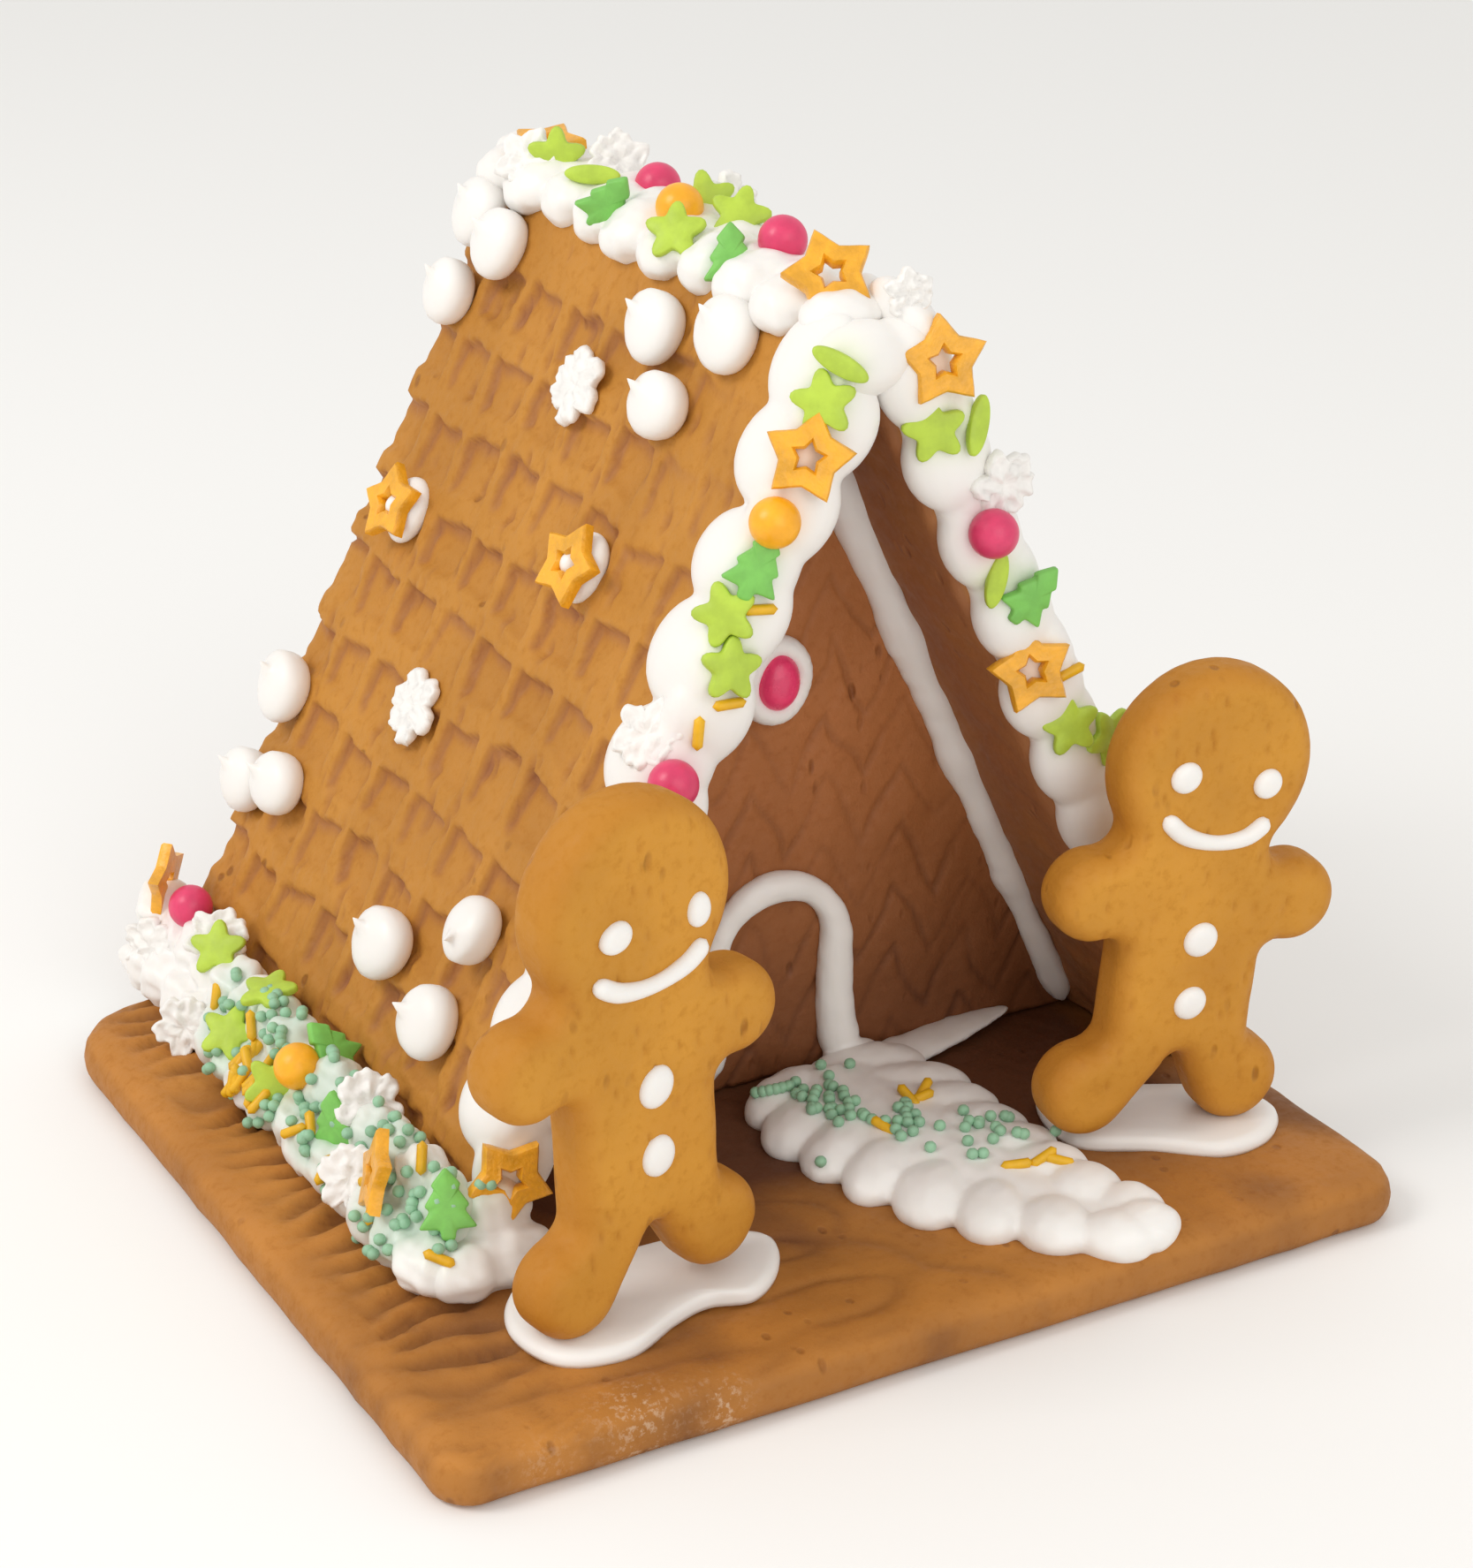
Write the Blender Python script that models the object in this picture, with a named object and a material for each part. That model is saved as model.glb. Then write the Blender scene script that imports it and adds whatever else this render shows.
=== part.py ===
"""Gingerbread house with its board: an A-frame of biscuit panels joined and edged with piped icing,
a biscuit man on each side of the porch, a piped path and sugar toppings.

Lengths below are millimetres. The origin is the middle of the board's underside, +Z is up,
and the porch opens towards -Y.
"""
import math

import bmesh
import bpy
import numpy as np

MM = 0.001
GAP = 0.3                      # clearance between pieces that touch

# Board
BOARD_WIDTH = 157.0
BOARD_DEPTH = 142.0
BOARD_THICKNESS = 8.0
BOARD_CORNERS = (6.0, 8.0, 12.0, 14.0)      # radii: front left, front right, back right, back left

# House frame
RIDGE_X = 9.25
ROOF_FRONT_Y = -24.5
ROOF_LENGTH = 104.0
HALF_SPAN = 65.9               # ridge line to the outer foot of a roof panel
PEAK_RISE = 135.5              # board top to where the outer faces would meet
PANEL_THICKNESS = 9.5
PANEL_TOP_HALF = 4.6           # half the width left open along the ridge
WALL_THICKNESS = 8.0
FRONT_WALL_SETBACK = 22.5
BACK_WALL_SETBACK = 12.0

# Waffle relief on the roof
CELL_LENGTH = 12.8             # along the ridge
CELL_HEIGHT = 12.5             # up the slope
CELL_DEPTH = 1.2
TOP_ROW = 125.0                # slope distance of the highest band's lower edge
FIRST_COLUMN = 3.8
RIB_HALF_WIDTH = 1.1

# Small things
DROP_RADIUS = 4.6
DROP_HEIGHT = 4.4
BALL_RADIUS = 3.5
STAR_RADIUS = 6.6
STAR_THICKNESS = 1.7
MAN_THICKNESS = 10.0
PUDDLE_THICKNESS = 1.4

TILT = math.atan2(HALF_SPAN, PEAK_RISE)     # slope of a roof panel off the vertical
SLOPE_LENGTH = math.hypot(HALF_SPAN, PEAK_RISE)
INNER_HALF_SPAN = HALF_SPAN - PANEL_THICKNESS / math.cos(TILT)
INNER_RISE = INNER_HALF_SPAN / math.tan(TILT)
BASE = BOARD_THICKNESS + GAP

COLOURS = {
    "board": ((0.42, 0.20, 0.075), 0.75),
    "roof": ((0.46, 0.235, 0.075), 0.75),
    "wall": ((0.20, 0.075, 0.035), 0.8),
    "man": ((0.52, 0.27, 0.08), 0.7),
    "icing": ((0.85, 0.84, 0.80), 0.4),
    "pink": ((0.66, 0.06, 0.16), 0.3),
    "orange": ((0.90, 0.38, 0.02), 0.3),
    "gold": ((0.80, 0.40, 0.04), 0.35),
}


def clear_scene():
    for thing in list(bpy.data.objects):
        bpy.data.objects.remove(thing, do_unlink=True)


def material(name):
    """Principled material for one kind of piece, made once."""
    found = bpy.data.materials.get(name)
    if found:
        return found
    colour, roughness = COLOURS[name]
    made = bpy.data.materials.new(name)
    made.use_nodes = True
    shader = made.node_tree.nodes["Principled BSDF"]
    shader.inputs["Base Color"].default_value = (*colour, 1.0)
    shader.inputs["Roughness"].default_value = roughness
    shader.inputs["Metallic"].default_value = 0.0
    return made


def add_object(name, points, faces, finish):
    """Object from millimetre points, with its faces turned outwards and its round parts smooth."""
    mesh = bpy.data.meshes.new(name)
    mesh.from_pydata([tuple(float(v) * MM for v in p) for p in points], [], faces)
    work = bmesh.new()
    work.from_mesh(mesh)
    bmesh.ops.recalc_face_normals(work, faces=work.faces)
    work.to_mesh(mesh)
    work.free()
    mesh.materials.append(material(finish))
    mesh.shade_smooth()
    mesh.set_sharp_from_angle(angle=math.radians(50))
    made = bpy.data.objects.new(name, mesh)
    bpy.context.scene.collection.objects.link(made)
    return made


def skin(name, rings, finish, looped=False):
    """Closed body over a run of closed rings with equal point counts; the ends are shut unless it loops."""
    rings = [np.asarray(ring, float) for ring in rings]
    count = len(rings[0])
    points = np.concatenate(rings)
    faces = []
    last = len(rings) if looped else len(rings) - 1
    for i in range(last):
        here, there = i * count, ((i + 1) % len(rings)) * count
        for j in range(count):
            k = (j + 1) % count
            faces.append((here + j, here + k, there + k, there + j))
    if not looped:
        faces.append(tuple(range(count - 1, -1, -1)))
        faces.append(tuple(range(len(points) - count, len(points))))
    return add_object(name, points, faces, finish)


def arc(centre, radius, start, end, steps):
    """Points on a circle between two angles in degrees."""
    turn = np.radians(np.linspace(start, end, steps))
    return np.stack([centre[0] + radius * np.cos(turn), centre[1] + radius * np.sin(turn)], 1)


def belt(circles, step=38.0):
    """Outline that runs round circles like a belt; a negative radius is passed on its other side."""
    angles = []
    for (x1, y1, r1), (x2, y2, r2) in zip(circles, circles[1:] + circles[:1]):
        along = np.array([x2 - x1, y2 - y1])
        distance = np.hypot(*along)
        along /= distance
        lean = (r1 - r2) / distance
        normal = lean * along + math.sqrt(max(0.0, 1.0 - lean * lean)) * np.array([along[1], -along[0]])
        angles.append(math.atan2(normal[1], normal[0]))
    points = []
    for index, (x, y, radius) in enumerate(circles):
        start, end = angles[index - 1], angles[index]
        if radius > 0:
            end += 2 * math.pi * (end < start)
        else:
            end -= 2 * math.pi * (end > start)
        steps = max(2, int(abs(end - start) / math.radians(step)) + 1)
        points.append(arc((x, y), radius, math.degrees(start), math.degrees(end), steps))
    return np.concatenate(points)


def lump(phase, softness=0.6):
    """Piped swell, 1 in the middle of each whole step of phase and lower where two swells meet."""
    return np.abs(np.sin(np.pi * phase)) ** softness


def smooth_path(knots, count):
    """Even points on a smooth curve through the knots (Catmull-Rom)."""
    knots = np.asarray(knots, float)
    ends = np.concatenate([[2 * knots[0] - knots[1]], knots, [2 * knots[-1] - knots[-2]]])
    place = np.linspace(0, len(knots) - 1 - 1e-9, count)
    index = place.astype(int)
    t = (place - index)[:, None]
    a, b, c, d = (ends[index + k] for k in range(4))
    return 0.5 * (2 * b + (c - a) * t + (2 * a - 5 * b + 4 * c - d) * t ** 2
                  + (3 * b - 3 * c + d - a) * t ** 3)


def roof_point(side, y, slope, out):
    """Point on a roof panel: depth behind its front end, distance up its slope, height off its face."""
    x = -HALF_SPAN + slope * math.sin(TILT) - out * math.cos(TILT)
    z = BOARD_THICKNESS + slope * math.cos(TILT) + out * math.sin(TILT)
    return (RIDGE_X + side * x, ROOF_FRONT_Y + y, z)


def wall_point(x, y, z):
    """Point measured from the ridge's centre plane, the roof's front end and the table."""
    return (RIDGE_X + x, ROOF_FRONT_Y + y, z)


# ---- biscuit pieces ---------------------------------------------------------------------------

def make_board():
    def outline(inset):
        half_x, half_y = BOARD_WIDTH / 2, BOARD_DEPTH / 2
        signs = ((-1, -1, 180), (1, -1, 270), (1, 1, 0), (-1, 1, 90))
        corners = []
        for (sx, sy, start), radius in zip(signs, BOARD_CORNERS):
            centre = (sx * (half_x - radius), sy * (half_y - radius))
            corners.append(arc(centre, radius - inset, start, start + 90, 5))
        points = []
        for corner, following in zip(corners, corners[1:] + corners[:1]):
            points.append(corner)
            share = np.linspace(0, 1, 6)[1:-1, None]
            points.append(corner[-1] + (following[0] - corner[-1]) * share)
        return np.concatenate(points)

    profile = ((2.0, 0.0), (0.4, 1.5), (0.0, 3.8), (0.9, 6.4), (2.6, 7.7), (4.6, BOARD_THICKNESS))
    rings = [np.column_stack([outline(inset), np.full(len(outline(inset)), z)]) for inset, z in profile]
    skin("board", rings, "board")


def waffle_depth(y, slope):
    """How far the baked relief lies below the panel's face: stepped rows with short upright ribs."""
    below_edge = (TOP_ROW - slope) % CELL_HEIGHT
    depth = CELL_DEPTH * np.clip(1.0 - below_edge / (CELL_HEIGHT * 0.75), 0.0, 1.0)
    from_rib = np.abs((y - FIRST_COLUMN + CELL_LENGTH / 2) % CELL_LENGTH - CELL_LENGTH / 2)
    depth = depth * np.clip(from_rib / RIB_HALF_WIDTH, 0.15, 1.0)
    return np.where(slope > TOP_ROW, 0.0, depth)


def make_roof_panel(side, name):
    """Slab with the relief on its outer face; its foot is cut level and its top is cut at the ridge."""
    outer_top = SLOPE_LENGTH * (1.0 - PANEL_TOP_HALF / HALF_SPAN)
    inner_foot = PANEL_THICKNESS * math.tan(TILT)
    foot = GAP / math.cos(TILT)
    centre_gap = GAP / 2
    inner_top = (HALF_SPAN - centre_gap - PANEL_THICKNESS * math.cos(TILT)) / math.sin(TILT)
    columns = [0.0, 1.0]
    rib = FIRST_COLUMN
    while rib < ROOF_LENGTH - 3.0:
        columns += [rib - RIB_HALF_WIDTH, rib, rib + RIB_HALF_WIDTH]
        rib += CELL_LENGTH
    columns += [ROOF_LENGTH - 1.0, ROOF_LENGTH]
    columns = np.unique([c for c in columns if 0.0 <= c <= ROOF_LENGTH])
    rows = [foot, foot + 1.2]
    edge = TOP_ROW - CELL_HEIGHT * 9
    while edge <= TOP_ROW + 0.1:
        rows += [edge - 0.4, edge + 0.4]
        edge += CELL_HEIGHT
    rows += [outer_top - 1.2, outer_top]
    rows = np.unique([r for r in rows if foot <= r <= outer_top])
    yy, ss = np.meshgrid(columns, rows, indexing="ij")
    depth = waffle_depth(yy, ss)
    rim = (yy == columns[0]) | (yy == columns[-1]) | (ss == rows[-1])
    depth = np.where(rim, 0.9, depth)
    depth = np.where(ss == rows[0], 0.0, depth)
    outer = [roof_point(side, y, s, -d) for y, s, d in zip(yy.ravel(), ss.ravel(), depth.ravel())]
    ny, ns = yy.shape
    faces = []
    for i in range(ny - 1):
        for j in range(ns - 1):
            first = i * ns + j
            faces.append((first, first + ns, first + ns + 1, first + 1))
    border = list(range(ns))
    border += [i * ns + ns - 1 for i in range(1, ny)]
    border += [(ny - 1) * ns + j for j in range(ns - 2, -1, -1)]
    border += [i * ns for i in range(ny - 2, 0, -1)]
    start = len(outer)
    for index in border:
        y, s = yy.ravel()[index], ss.ravel()[index]
        share = (s - foot) / (outer_top - foot)
        inner = foot + inner_foot + share * (inner_top - foot - inner_foot)
        outer.append(roof_point(side, y, inner, -PANEL_THICKNESS))
    size = len(border)
    for k in range(size):
        n = (k + 1) % size
        faces.append((border[k], border[n], start + n, start + k))
    faces.append(tuple(range(start + size - 1, start - 1, -1)))
    add_object(name, outer, faces, "roof")


def make_gable_wall(name, setback):
    """Triangular wall that fits inside the panels, with softened outer edges."""
    clear = GAP / math.cos(TILT)

    def outline(inset):
        half = INNER_HALF_SPAN - clear - inset / math.cos(TILT) - GAP * math.tan(TILT)
        rise = half / math.tan(TILT)
        rows = np.linspace(0.0, 1.0, 7)[:-1]
        right = [(half * (1 - t), BASE + rise * t) for t in rows]
        left = [(-x, z) for x, z in right]
        return np.array(right + [(0.6, BASE + rise - 1.4), (-0.6, BASE + rise - 1.4)] + left[::-1])

    rings = []
    for inset, depth in ((0.5, 0.0), (0.0, 0.6), (0.0, WALL_THICKNESS - 0.6), (0.5, WALL_THICKNESS)):
        flat = outline(inset)
        rings.append([wall_point(x, setback + depth, z) for x, z in flat])
    skin(name, rings, "wall")


MEN = {
    "man_left": {
        "place": (-38.7, -49.2), "turn": -10.0, "lean": -3.6, "head": 59.1,
        "left_arm": (17.6, 41.0), "right_arm": (15.9, 38.2),
        "left_foot": (12.8, 6.3), "right_foot": (11.1, 7.2),
    },
    "man_right": {
        "place": (51.2, -43.1), "turn": 8.3, "lean": 4.2, "head": 56.7,
        "left_arm": (16.4, 37.7), "right_arm": (16.1, 35.2),
        "left_foot": (13.6, 6.6), "right_foot": (11.1, 6.6),
    },
}
HEAD_RADIUS = 15.1
ARM_RADIUS = 6.4
FOOT_RADIUS = 6.6
WAIST_HALF = 11.4
HIP_FILLET = 3.0
ARMPIT_FILLET = 2.5
NECK_FILLET = 3.2


def touching_height(circle, x, radius, way):
    """Height at which a circle centred on x just touches another from below (-1) or above (1)."""
    cx, cz, cr = circle
    return cz + way * math.sqrt((cr + radius) ** 2 - (cx - x) ** 2)


def between(first, second, radius, sign):
    """Centre of the circle that touches two others from the outer side of a man."""
    (x1, z1, r1), (x2, z2, r2) = first, second
    d = math.hypot(x2 - x1, z2 - z1)
    ex, ez = (x2 - x1) / d, (z2 - z1) / d
    a = ((r1 + radius) ** 2 - (r2 + radius) ** 2 + d * d) / (2 * d)
    h = math.sqrt((r1 + radius) ** 2 - a * a)
    return (x1 + a * ex - sign * h * ez, z1 + a * ez + sign * h * ex)


def man_outline(man, inset):
    """A biscuit cutter's belt: crotch, foot, hip, armpit, arm, neck and head, then down the far side."""
    head = (0.0, man["head"], HEAD_RADIUS)

    def limb_side(sign, arm_place, foot_place):
        arm = (sign * arm_place[0], arm_place[1], ARM_RADIUS)
        foot = (sign * foot_place[0], foot_place[1], FOOT_RADIUS)
        hip_x = sign * (WAIST_HALF + HIP_FILLET)
        pit_x = sign * (WAIST_HALF + ARMPIT_FILLET)
        neck = between(head, arm, NECK_FILLET, sign)
        return [
            foot,
            (hip_x, touching_height(foot, hip_x, HIP_FILLET, 1), -HIP_FILLET),
            (pit_x, touching_height(arm, pit_x, ARMPIT_FILLET, -1), -ARMPIT_FILLET),
            arm,
            (neck[0], neck[1], -NECK_FILLET),
        ]
    right = limb_side(1, man["right_arm"], man["right_foot"])
    left = limb_side(-1, man["left_arm"], man["left_foot"])
    chain = [(0.0, 10.8, -1.5)] + right + [head] + left[::-1]
    return belt([(x, z, radius - inset) for x, z, radius in chain])


def standing_height(man):
    """Height of a man's foot line, so that his lower foot rests on his pool of icing."""
    lean = math.radians(man["lean"])
    feet = ((-man["left_foot"][0], man["left_foot"][1]), (man["right_foot"][0], man["right_foot"][1]))
    lowest = min(-u * math.sin(lean) + w * math.cos(lean) for u, w in feet) - FOOT_RADIUS
    return BASE + PUDDLE_THICKNESS + GAP - lowest


def man_point(man, across, up, back):
    """Point of a standing man: across his front, up from his feet and back from his front face."""
    lean, turn = math.radians(man["lean"]), math.radians(man["turn"])
    u = across * math.cos(lean) + up * math.sin(lean)
    w = -across * math.sin(lean) + up * math.cos(lean)
    behind = back - MAN_THICKNESS / 2
    x, y = man["place"]
    return (x + u * math.cos(turn) + behind * math.sin(turn),
            y - u * math.sin(turn) + behind * math.cos(turn), standing_height(man) + w)


def make_man(name):
    man = MEN[name]
    profile = ((3.0, 0.0), (1.2, 0.7), (0.0, 2.6), (0.0, 7.2), (1.0, 9.2), (2.6, MAN_THICKNESS))
    rings = []
    for inset, back in profile:
        rings.append([man_point(man, u, w, back) for u, w in man_outline(man, inset)])
    skin(name, rings, "man")


# ---- piped icing ------------------------------------------------------------------------------

def sweep(name, stations, section):
    """Body of icing through the closed sections that section(t) gives at each station t."""
    skin(name, [section(t) for t in stations], "icing")


def make_ridge_icing():
    """Shell border along the ridge; it sits on both faces and dips into the gap between the panels."""
    shells = 9
    top_slope = SLOPE_LENGTH * (1.0 - PANEL_TOP_HALF / HALF_SPAN)
    dip = BOARD_THICKNESS + INNER_RISE + 5.5
    lip = PANEL_TOP_HALF - 1.4

    def section(t):
        y = 3.0 + t * (ROOF_LENGTH - 1.0)
        swell = 0.55 + 0.45 * lump(t * shells)
        closing = min(1.0, 12.0 * min(t + 0.02, 1.02 - t)) ** 0.5
        reach = 3.6 * swell * closing
        rise = 3.2 * swell * closing
        low = top_slope - reach
        left = roof_point(1, y, low, GAP)
        left_corner = roof_point(1, y, top_slope, GAP)
        right = roof_point(-1, y, low, GAP)
        right_corner = roof_point(-1, y, top_slope, GAP)
        half = RIDGE_X - left[0]
        crown = []
        for angle in (150, 120, 90, 60, 30):
            turn = math.radians(angle)
            crown.append((RIDGE_X + (half + 1.2) * math.cos(turn), left[1],
                          left_corner[2] - 1.5 + (rise + 1.5) * math.sin(turn)))
        lip_z = left_corner[2] + 0.1
        notch = [(RIDGE_X + lip, left[1], lip_z), (RIDGE_X, left[1], dip), (RIDGE_X - lip, left[1], lip_z)]
        return [right_corner] + notch + [left_corner, left] + crown + [right]

    sweep("ridge_icing", np.linspace(0.0, 1.0, shells * 2 + 1), section)


def make_edge_icing(side, name, top, bottom, shells):
    """Snail border round the front edge of a panel, on its end face and on its outer face."""
    def section(t):
        slope = top + (bottom - top) * t
        swell = 0.45 + 0.55 * lump(t * shells)
        closing = min(1.0, 14.0 * min(t + 0.02, 1.02 - t)) ** 0.5
        size = closing * (0.7 + 0.3 * swell)
        back = 10.5 * closing * swell
        inner = 8.2 * size
        shape = [(GAP, back), (2.6 * size, back * 0.75), (4.3 * size, back * 0.25),
                 (4.0 * size, -2.6 * size), (1.2 * size, -4.6 * size), (-3.0 * size, -4.6 * size),
                 (-inner * 0.85, -3.0 * size), (-inner, -GAP), (GAP, -GAP)]
        return [roof_point(side, y, slope, out) for out, y in shape]

    sweep(name, np.linspace(0.0, 1.0, shells * 3 + 1), section)


def make_foot_icing(side, name, spread, climb, shells, start, end):
    """Border in the corner between a panel's foot and the board."""
    def section(t):
        y = start + (end - start) * t
        swell = 0.6 + 0.4 * lump(t * shells)
        closing = min(1.0, 12.0 * min(t + 0.03, 1.03 - t)) ** 0.5
        reach, height = spread * swell * closing, climb * swell * closing
        corner = roof_point(side, y, GAP, 0.0)
        foot_x = corner[0] - side * 2 * GAP
        points = [(foot_x, corner[1], BASE)]
        outward = 180.0
        slope_angle = 90.0 - math.degrees(TILT)
        for share in np.linspace(0.0, 1.0, 6):
            turn = math.radians(outward + (slope_angle - outward) * share)
            radius = reach + (height - reach) * share
            points.append((foot_x + side * radius * math.cos(turn), corner[1],
                           BASE + radius * math.sin(turn)))
        return points

    sweep(name, np.linspace(0.0, 1.0, shells * 2 + 1), section)


def tube(name, path, radii, flat_axis, sides=8):
    """Flattened bead along a path in a plane; flat_axis points off the plane that it lies on."""
    path = np.asarray(path, float)
    ahead = np.gradient(path, axis=0)
    ahead /= np.linalg.norm(ahead, axis=1)[:, None]
    out = np.asarray(flat_axis, float)
    across = np.cross(ahead, out)
    rings = []
    for centre, side_way, radius in zip(path, across, radii):
        turn = np.linspace(0.0, math.pi, sides // 2 + 2)
        ring = centre + radius * (np.cos(turn)[:, None] * side_way + 0.8 * np.sin(turn)[:, None] * out)
        rings.append(ring)
    skin(name, rings, "icing")


def make_door_icing():
    """Arch piped on the wall round the doorway, its foot trailing off along the board."""
    face = FRONT_WALL_SETBACK - GAP
    half, spring = 10.6, 30.0
    right = [(half, z) for z in (10.8, 17.0, 24.0)]
    crown = arc((0.0, spring), half, 0, 180, 7)
    left = [(-half, z) for z in (24.0, 17.0, 10.8)]
    flat = right + [tuple(p) for p in crown] + left
    path = [wall_point(x, face, z) for x, z in flat]
    tube("door_icing", path, np.full(len(path), 2.3), (0.0, -1.0, 0.0))


def make_window_icing():
    """Ring of icing with a sugar button in it, high on the wall."""
    face = FRONT_WALL_SETBACK - GAP
    centre = (-1.3, 74.0)
    rings = []
    for angle in range(0, 360, 24):
        turn = math.radians(angle)
        section = []
        for radius, out in ((6.0, 0.0), (5.9, 1.4), (5.0, 2.3), (4.2, 1.6), (4.0, 0.0)):
            x = centre[0] + radius * math.cos(turn)
            z = centre[1] + 1.08 * radius * math.sin(turn)
            section.append(wall_point(x, face - out, z))
        rings.append(section)
    skin("window_icing", rings, "icing", looped=True)
    turned = []
    for radius, out in ((3.0, 0.2), (3.55, 1.4), (3.3, 2.7), (2.2, 3.6), (0.8, 4.0)):
        flat = arc(centre, radius, 0, 330, 12)
        turned.append([wall_point(x, face - out, z) for x, z in flat])
    skin("window_button", turned, "pink")


def make_seam_icing(side, name):
    """Bead in the corner between the wall's front and a panel's inner face."""
    face = FRONT_WALL_SETBACK - GAP
    stations = np.linspace(0.0, 1.0, 9)

    def section(t):
        z = BASE + 1.5 + t * (INNER_RISE - 13.0)
        radius = 2.6 + 1.4 * t
        inner = INNER_HALF_SPAN - (z - BOARD_THICKNESS) * math.tan(TILT) - GAP / math.cos(TILT)
        points = [(inner, 0.0)]
        for angle in (0, 30, 60, 90):
            turn = math.radians(angle)
            points.append((inner - radius * math.cos(turn), -radius * math.sin(turn)))
        return [wall_point(-side * x, face + y, z) for x, y in points]

    sweep(name, stations, section)


def make_path_icing():
    """Piped path of overlapping shells from the doorway to the board's front edge."""
    centre = smooth_path([(6.5, 15.8), (6.2, 4.0), (8.2, -12.0), (13.8, -27.5), (23.5, -41.5)], 22)
    shells = 7
    ahead = np.gradient(centre, axis=0)
    ahead /= np.linalg.norm(ahead, axis=1)[:, None]
    rings = []
    for index, (middle, way) in enumerate(zip(centre, ahead)):
        t = index / (len(centre) - 1)
        swell = 0.82 + 0.18 * lump(t * shells)
        half = (19.5 - 12.0 * t ** 2.2) * swell * min(1.0, 10.0 * min(t + 0.05, 1.04 - t)) ** 0.5
        height = 3.6 + 1.0 * swell
        across = np.array([way[1], -way[0]])
        ring = []
        for share in (-1.0, -0.92, -0.6, -0.2, 0.0, 0.2, 0.6, 0.92, 1.0):
            dome = (1.0 - abs(share) ** 3) ** 0.5 * height
            dip = 0.8 * max(0.0, 1.0 - abs(share) / 0.2) if abs(share) < 0.2 else 0.0
            x, y = middle + across * share * half
            ring.append(wall_point(x, y, BASE + dome - dip))
        rings.append(ring)
    skin("path_icing", rings, "icing")


def make_mound(name, centre, radii, spread):
    """Rounded lump of icing that sits flat at height centre[2]; spread widens its lower half."""
    rings = []
    for share, height in ((0.96, 0.0), (1.0, 0.3), (0.86, 0.68), (0.5, 0.93), (0.14, 1.0)):
        flat = arc((0.0, 0.0), share, 0, 324, 10) * radii[:2] * (1.0 + spread * (1.0 - height))
        z = centre[2] + height * radii[2]
        rings.append([wall_point(centre[0] + x, centre[1] + y, z) for x, y in flat])
    skin(name, rings, "icing")


def make_gable_icing():
    """Lump that closes the gable's peak, in front of the panels' ends."""
    rings = []
    for share, depth in ((0.9, 0.0), (1.0, 0.3), (0.8, 0.75), (0.45, 1.0)):
        ring = arc((0.0, 0.0), share, 0, 330, 12)
        rings.append([wall_point(8.6 * x, -GAP - 4.6 * depth, 134.8 + 5.2 * z) for x, z in ring])
    skin("gable_icing", rings, "icing")


def make_puddle(name, knots):
    """Flat pool of icing that a man stands in."""
    closed = np.array(knots + knots[:1] + knots[1:2], float)
    outline = smooth_path(closed, 3 * len(knots) + 4)[:3 * len(knots)]
    middle = outline.mean(0)
    rings = []
    for share, height in ((0.97, 0.0), (1.0, 0.5), (0.95, 0.9), (0.84, 1.0)):
        flat = middle + (outline - middle) * share
        rings.append([wall_point(x, y, BASE + height * PUDDLE_THICKNESS) for x, y in flat])
    skin(name, rings, "icing")


# ---- toppings ---------------------------------------------------------------------------------

def facing(side, y, slope, out):
    """Place and axes of a topping on a roof panel: along the ridge, up the slope, off the face."""
    place = np.array(roof_point(side, y, slope, out))
    along = np.array([0.0, 1.0, 0.0])
    up = np.array([side * math.sin(TILT), 0.0, math.cos(TILT)])
    off = np.array([-side * math.cos(TILT), 0.0, math.sin(TILT)])
    return place, along, up, off


def make_drop(name, side, y, slope, size, peak):
    """Kiss of icing: a round base drawn up into a bent peak."""
    place, along, up, off = facing(side, y, slope, GAP)
    rings = []
    for radius, height, bend in ((0.93, 0.0, 0.0), (1.0, 0.25, 0.0), (0.78, 0.66, 0.05), (0.4, 0.9, 0.3),
                                 (0.12, 1.1, 0.75)):
        lean = bend * DROP_RADIUS * size * (math.cos(peak) * along + math.sin(peak) * up)
        centre = place + off * height * DROP_HEIGHT * size + lean
        turn = np.radians(np.arange(0, 360, 45))
        reach = radius * DROP_RADIUS * size
        rings.append(centre + reach * (np.cos(turn)[:, None] * along + np.sin(turn)[:, None] * up))
    skin(name, rings, "icing")


def make_ball(name, centre, finish):
    """Sugar ball."""
    work = bmesh.new()
    bmesh.ops.create_uvsphere(work, u_segments=9, v_segments=6, radius=BALL_RADIUS)
    points = [np.array(vertex.co) + centre for vertex in work.verts]
    work.verts.index_update()
    faces = [tuple(vertex.index for vertex in face.verts) for face in work.faces]
    work.free()
    add_object(name, points, faces, finish)


def make_star(name, place, right, up, spin):
    """Five-pointed sugar star with a hole through it."""
    right, up = np.asarray(right, float), np.asarray(up, float)
    off = np.cross(right, up)
    rings = []
    for corner in range(10):
        turn = math.radians(90 + spin + 36 * corner)
        tip = corner % 2 == 0
        outer, inner = (1.0, 0.36) if tip else (0.56, 0.24)
        spoke = math.cos(turn) * right + math.sin(turn) * up
        section = []
        for share, height in ((outer, 0.0), (outer * 0.93, 1.0), (inner + 0.05, 1.0), (inner, 0.0)):
            section.append(place + STAR_RADIUS * share * spoke + (height - 0.5) * STAR_THICKNESS * off)
        rings.append(section)
    skin(name, rings, "gold", looped=True)


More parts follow.
